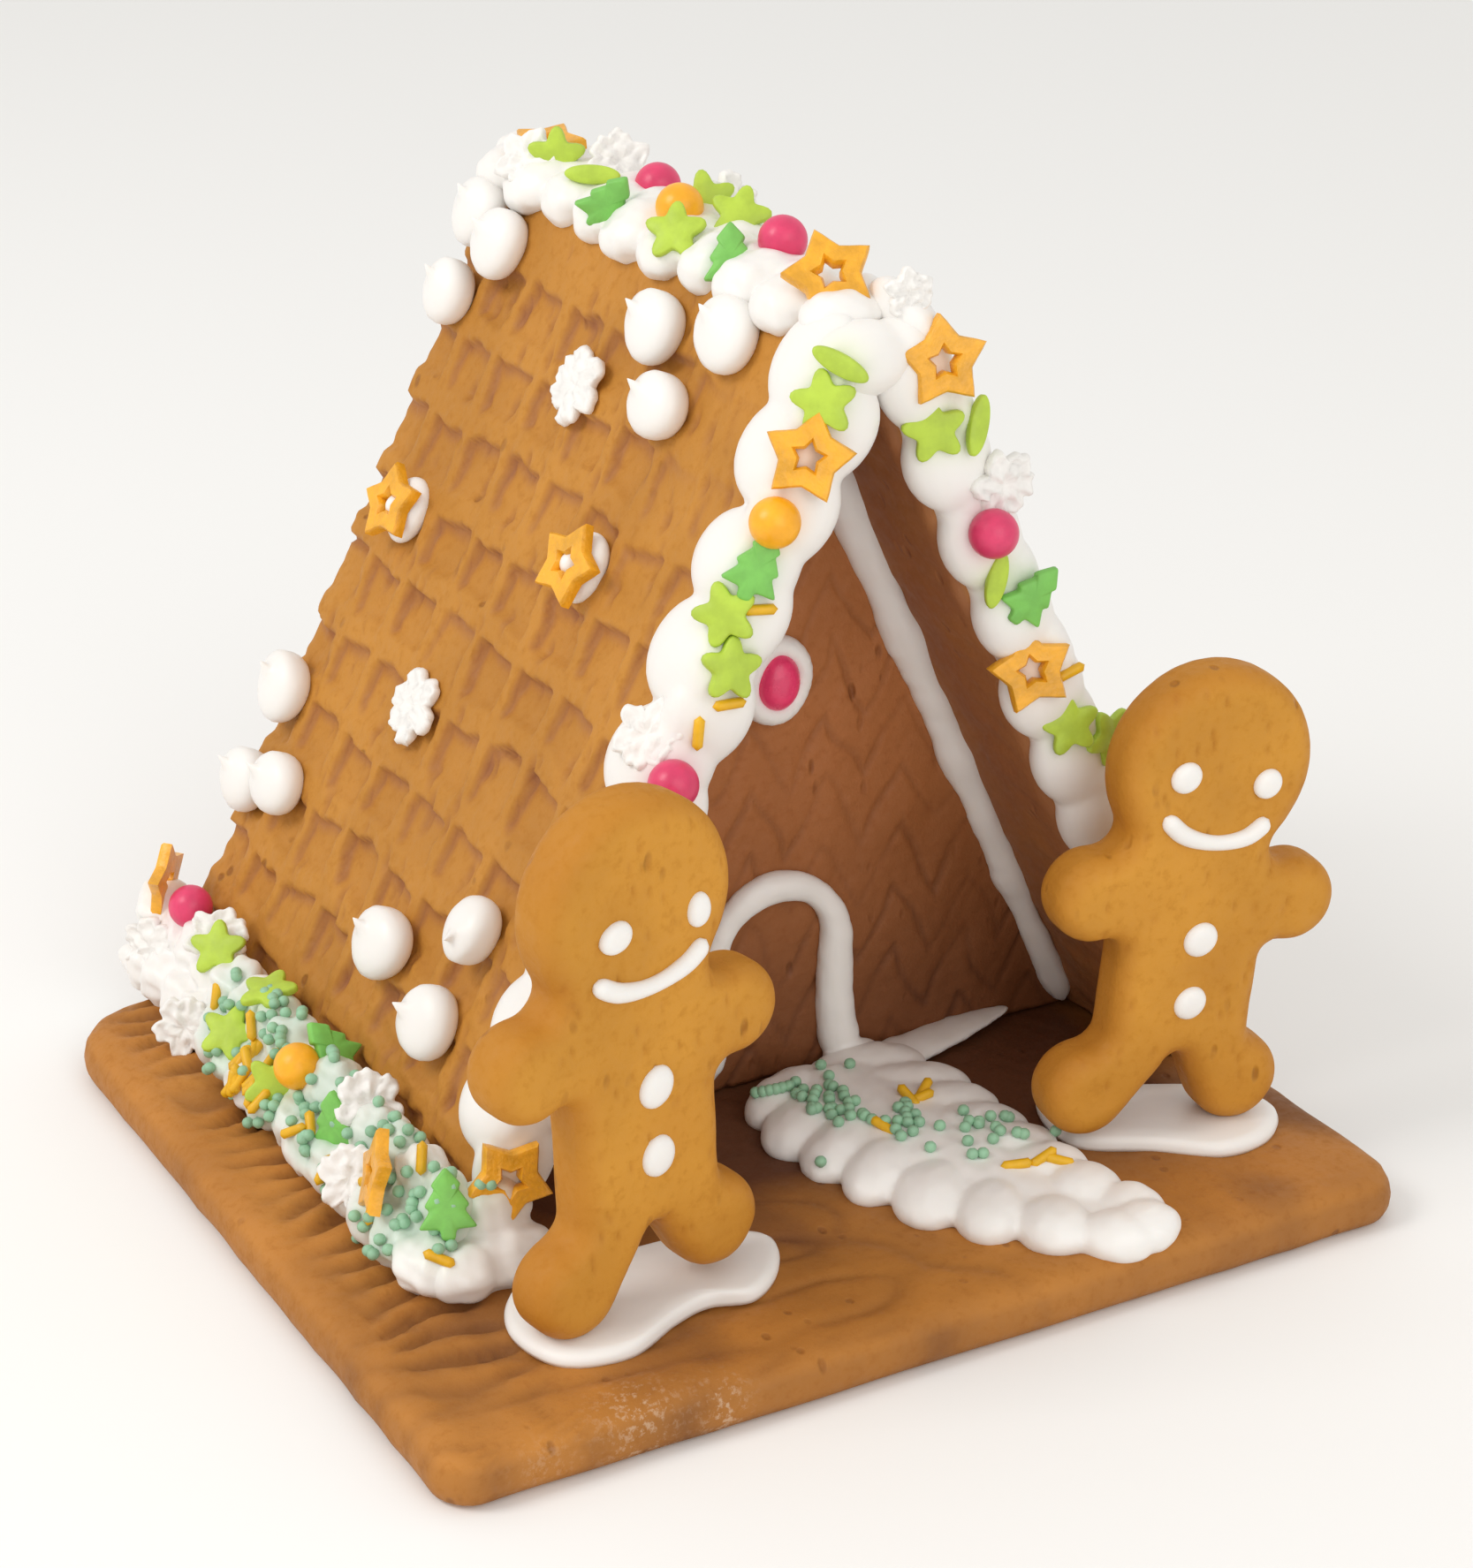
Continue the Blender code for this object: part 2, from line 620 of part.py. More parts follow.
def make_dab(name, y, slope):
    """Low dome of icing that holds a star on the roof."""
    place, along, up, off = facing(1, y, slope, GAP)
    rings = []
    for radius, height in ((4.2, 0.0), (4.4, 0.9), (3.4, 1.9), (1.6, 2.3)):
        turn = np.radians(np.arange(0, 360, 36))
        ring = radius * (np.cos(turn)[:, None] * along + np.sin(turn)[:, None] * up)
        rings.append(place + off * height + ring)
    skin(name, rings, "icing")


def make_snowflake(name, y, slope):
    """Six-lobed sugar flake pressed flat on the roof."""
    place, along, up, off = facing(1, y, slope, GAP)
    rings = []
    for share, height in ((0.92, 0.0), (1.0, 0.8), (0.85, 2.0), (0.4, 2.4)):
        turn = np.radians(np.arange(0, 360, 20))
        radius = 5.0 * share * (1.0 + 0.16 * np.cos(6 * turn))
        ring = radius[:, None] * (np.cos(turn)[:, None] * along + np.sin(turn)[:, None] * up)
        rings.append(place + off * height + ring)
    skin(name, rings, "icing")


DROPS_LEFT = ((39.6, 127.4), (22.1, 131.0), (30.8, 117.8), (98.8, 130.6), (89.4, 127.6), (98.2, 117.4),
              (99.0, 49.7), (99.0, 33.5), (89.0, 36.6), (42.6, 29.0), (22.4, 40.1), (23.2, 24.9))
DROPS_RIGHT = ((39.6, 127.4), (22.1, 131.0), (42.6, 40.0), (24.0, 52.0))
SNOWFLAKES = ((54.9, 114.6), (62.4, 60.3))
ROOF_STARS = ((86.8, 84.7), (34.7, 92.4))


def make_roof_toppings():
    for index, (y, slope) in enumerate(DROPS_LEFT):
        size = 0.95 + 0.1 * math.sin(index * 2.3)
        peak = math.radians(40 + 25 * math.sin(index * 1.7))
        make_drop("drop_left_%d" % (index + 1), 1, y, slope, size, peak)
    for index, (y, slope) in enumerate(DROPS_RIGHT):
        make_drop("drop_right_%d" % (index + 1), -1, y, slope, 1.0, math.radians(50 + 20 * math.sin(index)))
    for index, (y, slope) in enumerate(SNOWFLAKES):
        make_snowflake("snowflake_%d" % (index + 1), y, slope)
    for index, (y, slope) in enumerate(ROOF_STARS):
        make_dab("star_dab_%d" % (index + 1), y, slope)
        place, along, up, off = facing(1, y, slope, 2 * GAP + 2.3 + STAR_THICKNESS / 2)
        make_star("star_roof_%d" % (index + 1), place, -along, up, 12.0 - 30.0 * index)


def make_balls():
    """Sugar balls along the ridge, the front edges and the left foot."""
    on_crown = {"ball_ridge_1": (-0.7, 60.0, 139.9, "pink"), "ball_ridge_2": (-5.6, 44.4, 140.2, "orange"),
                "ball_ridge_3": (-2.2, 21.1, 140.7, "pink")}
    for name, (x, y, z, finish) in on_crown.items():
        make_ball(name, np.array(wall_point(x, y, z)), finish)
    on_slopes = {"ball_edge_1": (1, -7.8, 112.4, 3.4, "orange"),
                 "ball_edge_2": (1, -8.4, 74.8, 2.0, "pink"),
                 "ball_edge_3": (-1, -8.0, 108.0, -4.0, "pink"),
                 "ball_foot_1": (1, 92.5, 18.0, 3.8, "pink"),
                 "ball_foot_2": (1, 38.6, 8.9, 9.9, "orange")}
    for name, (side, y, slope, out, finish) in on_slopes.items():
        make_ball(name, np.array(roof_point(side, y, slope, out)), finish)


def make_border_stars():
    """Gold stars stood on the piped borders; each is given by its place and the way that it faces."""
    stars = {
        "star_ridge": (wall_point(-4.6, 4.0, 142.8), (-0.35, -0.45, 0.82), 10.0),
        "star_edge_1": (roof_point(1, -8.4, 121.8, 3.4), (-0.6, -0.76, 0.25), -8.0),
        "star_edge_2": (roof_point(-1, -7.0, 134.9, -1.5), (-0.15, -0.97, 0.2), 0.0),
        "star_edge_3": (roof_point(-1, -6.6, 84.6, -5.7), (-0.15, -0.97, 0.2), 15.0),
        "star_foot_1": (roof_point(1, 99.9, 13.4, 8.3), (-0.75, 0.65, 0.1), 0.0),
        "star_foot_2": (roof_point(1, 6.7, 7.3, 11.3), (-0.93, 0.2, 0.3), 20.0),
        "star_corner": (wall_point(-60.2, -8.6, 23.2), (-0.1, -0.98, 0.15), 30.0),
    }
    for name, (place, normal, spin) in stars.items():
        normal = np.array(normal) / np.linalg.norm(normal)
        right = np.cross((0.0, 0.0, 1.0), normal)
        right /= np.linalg.norm(right)
        make_star(name, np.array(place), right, np.cross(normal, right), spin)


def build():
    clear_scene()
    make_board()
    make_roof_panel(1, "roof_left")
    make_roof_panel(-1, "roof_right")
    make_gable_wall("wall_front", FRONT_WALL_SETBACK)
    make_gable_wall("wall_back", ROOF_LENGTH - BACK_WALL_SETBACK - WALL_THICKNESS)
    for name in MEN:
        make_man(name)
    make_ridge_icing()
    make_gable_icing()
    make_edge_icing(1, "edge_icing_left", 128.0, 20.0, 7)
    make_edge_icing(-1, "edge_icing_right", 128.0, 50.0, 5)
    make_foot_icing(1, "foot_icing_left", 7.0, 12.5, 9, 3.0, ROOF_LENGTH - 2.0)
    make_foot_icing(-1, "foot_icing_right", 3.4, 7.0, 10, 12.0, ROOF_LENGTH - 14.0)
    make_mound("corner_icing_left", (-61.5, -7.6, BASE), (8.0, 5.6, 8.0), 0.1)
    make_door_icing()
    make_window_icing()
    make_seam_icing(1, "seam_icing_left")
    make_seam_icing(-1, "seam_icing_right")
    make_path_icing()
    make_puddle("puddle_left", [(-60.0, -15.5), (-66.0, -24.0), (-61.0, -34.0), (-49.0, -33.0),
                                (-40.0, -29.0), (-28.0, -26.0), (-26.0, -17.0), (-44.0, -14.0)])
    make_puddle("puddle_right", [(30.5, -6.0), (28.5, -16.0), (36.0, -24.0), (50.0, -31.0),
                                 (60.0, -24.0), (55.0, -13.0), (42.0, -7.0)])
    make_roof_toppings()
    make_balls()
    make_border_stars()


build()
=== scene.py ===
"""Gingerbread house: biscuit, piped icing and sugar toppings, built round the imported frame.

Shapes are worked out in millimetres and written to their meshes in metres. The origin is the middle
of the board's underside, +Z is up, and the porch opens towards -Y.
"""
import math

import bmesh
import bpy
import numpy as np
from mathutils import Matrix, Vector
from mathutils.bvhtree import BVHTree


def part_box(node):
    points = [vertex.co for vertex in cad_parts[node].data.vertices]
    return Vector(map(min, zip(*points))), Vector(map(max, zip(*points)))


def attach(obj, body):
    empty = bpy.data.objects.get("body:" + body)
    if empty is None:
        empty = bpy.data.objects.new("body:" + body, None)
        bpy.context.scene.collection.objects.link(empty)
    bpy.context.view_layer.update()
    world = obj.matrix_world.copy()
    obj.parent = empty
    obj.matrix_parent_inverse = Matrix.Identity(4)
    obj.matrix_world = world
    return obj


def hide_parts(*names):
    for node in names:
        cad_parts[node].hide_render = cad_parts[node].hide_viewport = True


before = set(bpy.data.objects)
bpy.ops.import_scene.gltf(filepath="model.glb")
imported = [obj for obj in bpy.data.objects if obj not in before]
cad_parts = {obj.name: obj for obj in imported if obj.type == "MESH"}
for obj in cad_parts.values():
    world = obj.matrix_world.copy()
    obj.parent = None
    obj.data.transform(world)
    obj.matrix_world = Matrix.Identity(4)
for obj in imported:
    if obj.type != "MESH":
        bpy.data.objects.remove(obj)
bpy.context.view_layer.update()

bl_info = {
    "name": "Gingerbread house",
    "version": (1, 0, 0),
    "blender": (4, 5, 0),
    "location": "View3D > Sidebar > Gingerbread",
    "description": "Biscuit, piped icing and sugar toppings of a gingerbread house",
    "category": "Add Mesh",
}

MM = 0.001
RIDGE_X, FRONT_Y = 9.25, -24.5
ROOF_LENGTH = 104.0
HALF_SPAN, PEAK_RISE = 65.9, 135.5
PANEL, WALL = 9.5, 8.0
PANEL_TOP_HALF = 4.6
FRONT_WALL, BACK_WALL = 22.5, 84.0
WALL_FACE = FRONT_WALL + 0.2
BOARD = np.array([157.0, 142.0, 8.0])
BASE = BOARD[2] + 0.3
TILT = math.atan2(HALF_SPAN, PEAK_RISE)
SLOPE = math.hypot(HALF_SPAN, PEAK_RISE)
INNER_HALF = HALF_SPAN - PANEL / math.cos(TILT)
INNER_RISE = INNER_HALF / math.tan(TILT)
FACING = np.array([-0.463, -0.790, 0.402])      # the side that most toppings are pressed on from
CELL_LONG, CELL_HIGH = 12.8, 12.5               # a cell of the roof's relief, along and up the roof
FIRST_RIB, TOP_ROW = 3.8, 125.0
ACROSS, ALONG, UP = np.eye(3)


# ---- settings -------------------------------------------------------------------------------------

def length(name, description, default):
    """A length setting."""
    return bpy.props.FloatProperty(name=name, description=description, default=default, unit="LENGTH")


def colour(name, description, default):
    """A colour setting."""
    return bpy.props.FloatVectorProperty(name=name, description=description, default=default,
                                         subtype="COLOR", size=3, min=0.0, max=1.0)


class HouseSizes(bpy.types.PropertyGroup):
    """Sizes of the relief, the icing and the sugar pieces"""
    waffle_depth: length("Waffle depth", "Depth of the baked relief on the roof", 0.0017)
    icing_grain: length("Icing grain", "Finest detail that piped icing is melted together at", 0.00045)
    ball_radius: length("Ball radius", "Radius of the sugar balls", 0.0035)
    star_radius: length("Star radius", "Centre to point of the gold stars", 0.0066)
    green_radius: length("Green radius", "Centre to point of the green stars", 0.0046)
    bead_radius: length("Bead radius", "Radius of the smallest sugar beads", 0.0009)


class HouseColours(bpy.types.PropertyGroup):
    """Base colours of the biscuit, the icing and the sugar"""
    roof: colour("Roof", "Baked outer face of the roof", (0.49, 0.210, 0.030))
    board: colour("Board", "Baked top of the board", (0.47, 0.188, 0.032))
    wall: colour("Wall", "Darker underside of the biscuit", (0.39, 0.140, 0.042))
    man: colour("Man", "Lighter biscuit of the men", (0.56, 0.250, 0.027))
    icing: colour("Icing", "Royal icing", (0.85, 0.83, 0.80))
    pink: colour("Pink", "Pink sugar", (0.70, 0.045, 0.14))
    orange: colour("Orange", "Orange sugar", (0.95, 0.42, 0.012))
    gold: colour("Gold", "Gold stars", (0.80, 0.375, 0.015))
    lime: colour("Lime", "Light green stars", (0.44, 0.60, 0.055))
    tree: colour("Tree", "Green trees", (0.19, 0.52, 0.095))
    rod: colour("Rod", "Mustard rods", (0.76, 0.42, 0.006))
    bead: colour("Bead", "Pale green beads", (0.29, 0.52, 0.34))


def sizes():
    """The scene's size settings."""
    return bpy.context.scene.house_sizes


def tone(name):
    """One of the scene's colour settings."""
    return np.array(getattr(bpy.context.scene.house_colours, name))


# ---- shader expressions ---------------------------------------------------------------------------

class Flow:
    """A value socket that arithmetic works on; each operator adds its Math node."""

    def __init__(self, recipe, socket):
        self.recipe, self.socket = recipe, socket

    def _math(self, operation, first, second=0.0):
        return self.recipe.add("ShaderNodeMath", {"operation": operation}, {0: first, 1: second})

    def __add__(self, other):
        return self._math("ADD", self, other)

    def __sub__(self, other):
        return self._math("SUBTRACT", self, other)

    def __mul__(self, other):
        return self._math("MULTIPLY", self, other)

    def ramp(self, low, high, bottom=0.0, top=1.0):
        """Smooth rise from bottom to top while the value goes from low to high."""
        return self.recipe.add("ShaderNodeMapRange", {"interpolation_type": "SMOOTHSTEP"},
                               {0: self, 1: low, 2: high, 3: bottom, 4: top})


class Recipe:
    """The nodes of one material."""

    def __init__(self, name, roughness, specular=0.35):
        self.material = bpy.data.materials.new(name)
        self.material.use_nodes = True
        self.tree = self.material.node_tree
        self.shader = self.tree.nodes["Principled BSDF"]
        self.set(self.shader, "Roughness", roughness)
        self.set(self.shader, "Specular IOR Level", specular)

    def set(self, node, key, value):
        """Links a flow to a socket, or sets the socket's own value."""
        socket = node.inputs[key]
        if isinstance(value, Flow):
            self.tree.links.new(value.socket, socket)
        elif hasattr(socket.default_value, "__len__") and len(socket.default_value) == 4:
            socket.default_value = (*value, 1.0)
        else:
            socket.default_value = value

    def add(self, kind, settings=None, inputs=None, output=0):
        """Any node: its settings first, then the values or links of its sockets."""
        node = self.tree.nodes.new(kind)
        for key, value in (settings or {}).items():
            setattr(node, key, value)
        for key, value in (inputs or {}).items():
            self.set(node, key, value)
        return Flow(self, node.outputs[output])

    def place(self):
        """The piece's own coordinates, in metres."""
        return self.add("ShaderNodeTexCoord", output=3)

    def noise(self, scale, detail=3.0, rough=0.5):
        """Cloudy value of about 0 to 1; scale is how many clouds a metre holds."""
        return self.add("ShaderNodeTexNoise", None,
                        {"Vector": self.place(), "Scale": scale, "Detail": detail, "Roughness": rough})

    def attribute(self, name, output=2):
        """A value, or with output 0 a colour, that is kept on the piece's points."""
        return self.add("ShaderNodeAttribute", {"attribute_name": name}, output=output)

    def mix(self, first, second, share):
        """Colour between first and second."""
        return self.add("ShaderNodeMix", {"data_type": "RGBA"}, {0: share, 6: first, 7: second}, output=2)

    def bump(self, height, strength, distance):
        """Normal of a surface raised by height times distance, in metres."""
        return self.add("ShaderNodeBump", None, {"Height": height, "Strength": strength,
                                                 "Distance": distance})


def biscuit(name, base, edge, pores=1.0, grain=1.0):
    """Baked dough: patches of bake, pores and crumb, and an edge colour mixed in by real bake plus painted
    shade.
    """
    r = Recipe(name, 0.62, 0.28)
    patch = r.noise(38.0, 4.0, 0.55).ramp(0.35, 0.68)
    fine = r.noise(620.0, 4.0, 0.6)
    # Per-point value of real bake and painted shade: hollows, corners and the porch are darkened towards the
    # edge colour.
    bake = r.attribute("bake")
    flat = r.mix(base * 0.93, base * np.array([1.08, 1.10, 1.15]), patch)
    flat = r.mix(flat, base * np.array([0.80, 0.72, 0.62]), fine.ramp(0.50, 0.74) * 0.45)
    stretched = r.add("ShaderNodeMapping", None, {"Vector": r.place(), "Scale": (1.0, 0.8, 0.42)})
    pits = r.add("ShaderNodeTexVoronoi", None, {"Vector": stretched, "Scale": 330.0, "Randomness": 1.0})
    chance = r.noise(95.0, 2.0).ramp(0.52, 0.66)
    pit = pits.ramp(0.10, 0.26, 1.0, 0.0) * chance * pores
    flat = r.mix(flat, base * np.array([0.52, 0.42, 0.34]), pit * 0.75)
    flat = r.mix(flat, edge, bake)
    r.set(r.shader, "Base Color", flat)
    r.set(r.shader, "Roughness", fine.ramp(0.3, 0.7, 0.52, 0.74))
    height = fine * 0.5 * grain + r.noise(1700.0, 2.0) * 0.2 * grain - pit * 1.3
    r.set(r.shader, "Normal", r.bump(height, 0.55, 0.0005))
    return r


def plain_biscuit(name, base, edge, pores=1.0, grain=1.0):
    """Baked dough with nothing on it."""
    return biscuit(name, base, edge, pores, grain).material


def floured_biscuit(name, base, edge):
    """The board's dough, with a thin smudge of flour where the piece's flour value is high."""
    r = biscuit(name, base, edge, 0.8, 0.7)
    under = r.shader.inputs["Base Color"].links[0].from_socket
    dust = r.noise(900.0, 5.0, 0.7).ramp(0.50, 0.64) * r.attribute("flour")
    r.set(r.shader, "Base Color", r.mix(Flow(r, under), (0.80, 0.66, 0.50), dust * 0.35))
    return r.material


def royal_icing(name, base):
    """Set icing: satin, faintly uneven, stained by colour that has run out of the sugar near it."""
    r = Recipe(name, 0.38, 0.45)
    stain = r.attribute("stain", 0)
    r.set(r.shader, "Base Color", r.mix(base, stain, r.attribute("stain_share")))
    r.set(r.shader, "Roughness", r.noise(160.0, 3.0).ramp(0.3, 0.7, 0.32, 0.48))
    r.set(r.shader, "Normal", r.bump(r.noise(420.0, 3.0), 0.10, 0.0004))
    r.set(r.shader, "Subsurface Weight", 0.12)
    r.set(r.shader, "Subsurface Radius", (0.0016, 0.0013, 0.0010))
    r.set(r.shader, "Subsurface Scale", 1.0)
    return r.material


def sugar(name, base, roughness, glitter=0.0, mottle=0.10):
    """Pressed or panned sugar: slight mottling, a grain, and glitter on the gold stars."""
    r = Recipe(name, roughness, 0.5)
    cloud = r.noise(260.0, 4.0, 0.6).ramp(0.3, 0.7)
    r.set(r.shader, "Base Color", r.mix(base * (1.0 - mottle), np.minimum(base * (1.0 + mottle), 1.0), cloud))
    r.set(r.shader, "Roughness", cloud * 0.12 + (roughness - 0.05))
    grain = r.noise(1500.0, 3.0)
    r.set(r.shader, "Normal", r.bump(grain, 0.12 + 0.5 * glitter, 0.0003))
    if glitter:
        r.set(r.shader, "Coat Weight", 0.22)
        r.set(r.shader, "Coat Roughness", 0.2)
    return r.material


# ---- numbers --------------------------------------------------------------------------------------

def unit(vector):
    """The same direction, one long."""
    return vector / np.linalg.norm(vector, axis=-1, keepdims=True)


def ripple(points, size, seed, waves=12):
    """Smooth random swell of about -1 to 1: a sum of plane waves, each about size millimetres long."""
    points = np.asarray(points, float)
    rng = np.random.default_rng(seed)
    way = unit(rng.normal(size=(waves, points.shape[-1]))) * rng.uniform(0.6, 1.5, (waves, 1))
    phase = rng.uniform(0.0, 2 * math.pi, waves)
    return np.sin(points @ (way.T * 2 * math.pi / size) + phase).sum(-1) / math.sqrt(waves)


def smooth(low, high, value):
    """Smooth step from 0 at low to 1 at high."""
    share = np.clip((value - low) / (high - low), 0.0, 1.0)
    return share * share * (3.0 - 2.0 * share)


def resample(points, count, closed=True):
    """Even points along a line, measured by its length."""
    points = np.asarray(points, float)
    if closed:
        points = np.concatenate([points, points[:1]])
    run = np.concatenate([[0.0], np.cumsum(np.linalg.norm(np.diff(points, axis=0), axis=1))])
    place = np.linspace(0.0, run[-1], count, endpoint=not closed)
    return np.stack([np.interp(place, run, points[:, k]) for k in range(points.shape[1])], 1)


def curve_through(knots, count, closed=False):
    """Smooth line through the knots (Catmull-Rom)."""
    knots = np.asarray(knots, float)
    if closed:
        knots = np.concatenate([knots[-1:], knots, knots[:2]])
    else:
        knots = np.concatenate([[2 * knots[0] - knots[1]], knots, [2 * knots[-1] - knots[-2]]])
    place = np.linspace(0, len(knots) - 3 - 1e-9, count, endpoint=not closed)
    index = place.astype(int)
    t = (place - index)[:, None]
    a, b, c, d = (knots[index + k] for k in range(4))
    return 0.5 * (2 * b + (c - a) * t + (2 * a - 5 * b + 4 * c - d) * t ** 2
                  + (3 * b - 3 * c + d - a) * t ** 3)


def outline_distance(points, outline):
    """Distance from each point to a closed line, over all of its segments at once."""
    start, end = outline, np.roll(outline, -1, axis=0)
    along = end - start
    share = np.einsum("pk,sk->ps", points, along) - (start * along).sum(1)
    share = np.clip(share / (along ** 2).sum(1), 0.0, 1.0)
    nearest = start + share[..., None] * along
    return np.linalg.norm(points[:, None, :] - nearest, axis=2).min(1)


def roof(side, y, slope, out):
    """Points on a roof panel: depth behind its front end, distance up its slope, height off its face."""
    y, slope, out = np.broadcast_arrays(np.asarray(y, float), slope, out)
    x = -HALF_SPAN + slope * math.sin(TILT) - out * math.cos(TILT)
    z = BOARD[2] + slope * math.cos(TILT) + out * math.sin(TILT)
    return np.stack([RIDGE_X + side * x, FRONT_Y + y, z], -1)


def house(x, y, z):
    """Points measured from the ridge's centre plane, the roof's front end and the table."""
    x, y, z = np.broadcast_arrays(np.asarray(x, float), y, z)
    return np.stack([RIDGE_X + x, FRONT_Y + y, z], -1)


def roof_axes(side):
    """Along the ridge, up the slope and off the face of a panel."""
    return np.array([[0.0, 1.0, 0.0], [side * math.sin(TILT), 0.0, math.cos(TILT)],
                     [-side * math.cos(TILT), 0.0, math.sin(TILT)]])


# ---- meshes ---------------------------------------------------------------------------------------

def grid_faces(rows, columns, wrap_rows=False, wrap_columns=True):
    """Quads of a rows by columns grid of points."""
    i = np.arange(rows if wrap_rows else rows - 1)[:, None]
    j = np.arange(columns if wrap_columns else columns - 1)[None, :]
    k, n = (i + 1) % rows, (j + 1) % columns
    return np.stack([i * columns + j, i * columns + n, k * columns + n, k * columns + j], -1).reshape(-1, 4)


def all_quads(faces):
    """Corners, and the number of corners of each face, of a list of quads."""
    return np.ravel(faces), np.full(len(faces), 4)


def new_mesh(name, points, faces):
    """Mesh from millimetre points and from faces given as all their corners and the corners in each."""
    corners, counts = faces
    mesh = bpy.data.meshes.new(name)
    mesh.vertices.add(len(points))
    mesh.vertices.foreach_set("co", (points * MM).astype(np.float32).ravel())
    mesh.loops.add(len(corners))
    mesh.loops.foreach_set("vertex_index", corners.astype(np.int32))
    mesh.polygons.add(len(counts))
    mesh.polygons.foreach_set("loop_start", (np.cumsum(counts) - counts).astype(np.int32))
    mesh.update(calc_edges=True)
    return mesh


def make_piece(name, points, faces, material, nodes=(), slot=None, sharp=None, **attributes):
    """Object from millimetre points and their faces, with point attributes; it stands for CAD nodes."""
    mesh = new_mesh(name, points, faces)
    work = bmesh.new()
    work.from_mesh(mesh)
    bmesh.ops.recalc_face_normals(work, faces=work.faces)
    work.to_mesh(mesh)
    work.free()
    for key, values in attributes.items():
        store(mesh, key, values)
    mesh.materials.append(material)
    mesh.shade_smooth()
    if sharp:
        mesh.set_sharp_from_angle(angle=math.radians(sharp))
    made = bpy.data.objects.new(name, mesh)
    bpy.context.scene.collection.objects.link(made)
    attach(made, "root")
    if nodes:
        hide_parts(*nodes)
    return made


def store(mesh, key, values):
    """Writes a number or a colour for every point."""
    values = np.asarray(values, np.float32)
    if values.ndim == 2:
        layer = mesh.attributes.new(key, "FLOAT_COLOR", "POINT")
        layer.data.foreach_set("color", np.column_stack([values, np.ones(len(values))]).ravel())
    else:
        layer = mesh.attributes.new(key, "FLOAT", "POINT")
        layer.data.foreach_set("value", values)


class Pile:
    """Many closed shapes gathered into one mesh."""

    def __init__(self):
        self.points, self.corners, self.counts, self.total = [], [], [], 0

    def add(self, points, faces):
        """Adds a shape; its corners are numbered on from the points before it."""
        corners, counts = faces
        self.points.append(points)
        self.corners.append(corners + self.total)
        self.counts.append(counts)
        self.total += len(points)

    def all(self):
        """All points and all faces."""
        return np.concatenate(self.points), (np.concatenate(self.corners), np.concatenate(self.counts))


def capped(rings):
    """Closed body over rings of equal counts; each end is shut by one face."""
    rings = np.asarray(rings, float)
    rows, columns = rings.shape[:2]
    corners, counts = all_quads(grid_faces(rows, columns))
    first, last = np.arange(columns)[::-1], (rows - 1) * columns + np.arange(columns)
    faces = np.concatenate([corners, first, last]), np.concatenate([counts, [columns, columns]])
    return rings.reshape(-1, 3), faces


def egg(centre, axes, radii, taper=0.0, steps=(12, 18)):
    """Egg: an ellipsoid along its first axis whose girth grows by taper from its start to its end."""
    u = np.linspace(0.04, math.pi - 0.04, steps[0])[:, None]
    v = np.linspace(0.0, 2 * math.pi, steps[1], endpoint=False)[None, :]
    girth = np.sin(u) * (1.0 - taper * np.cos(u))
    local = np.stack([-np.cos(u) * radii[0] + 0 * v, girth * np.cos(v) * radii[1],
                      girth * np.sin(v) * radii[2]], -1)
    return capped(centre + local @ np.asarray(axes))


def bead_along(path, radii, out, flatten=0.8, sides=16):
    """Rounded strip: an ellipse, flattened along out, carried along a path with a radius for each point."""
    ahead = unit(np.gradient(path, axis=0))
    out = np.broadcast_to(np.asarray(out, float), path.shape)
    across = unit(np.cross(ahead, out))
    turn = np.linspace(0.0, 2 * math.pi, sides, endpoint=False)[None, :, None]
    radii = np.asarray(radii)[:, None, None]
    ring = np.cos(turn) * across[:, None] + flatten * np.sin(turn) * out[:, None]
    return capped(path[:, None] + radii * ring)


def rounded_ends(count, share=0.12):
    """Radius factors that close a strip like half an ellipse at each end."""
    place = np.linspace(0.0, 1.0, count)
    near = np.clip(np.minimum(place, 1.0 - place) / share, 0.0, 1.0)
    return np.sqrt(np.clip(1.0 - (1.0 - near) ** 2, 0.004, 1.0))


def slab(outer, inner, rim=5, bulge=0.0):
    """Closed slab between two grids of equal counts, joined round their borders by a rounded strip."""
    rows, columns = outer.shape[:2]
    border = np.concatenate([np.arange(columns), np.arange(1, rows) * columns + columns - 1,
                             (rows - 1) * columns + np.arange(columns - 2, -1, -1),
                             np.arange(rows - 2, 0, -1) * columns])
    top, low = outer.reshape(-1, 3), inner.reshape(-1, 3)
    size, total = len(border), rows * columns
    middle = (top[border] + low[border]) / 2
    away = unit(middle - middle.mean(0))
    share = np.linspace(0.0, 1.0, rim + 2)[1:-1, None, None]
    strip = top[border] * (1 - share) + low[border] * share + away * bulge * np.sin(np.pi * share)
    points = np.concatenate([top, low, strip.reshape(-1, 3)])
    faces = grid_faces(rows, columns, wrap_columns=False)
    faces = np.concatenate([faces, faces[:, ::-1] + total])
    levels = [border] + [2 * total + k * size + np.arange(size) for k in range(rim)] + [border + total]
    for first, second in zip(levels, levels[1:]):
        quad = np.stack([np.roll(first, -1), first, second, np.roll(second, -1)], 1)
        faces = np.concatenate([faces, quad])
    return points, all_quads(faces)


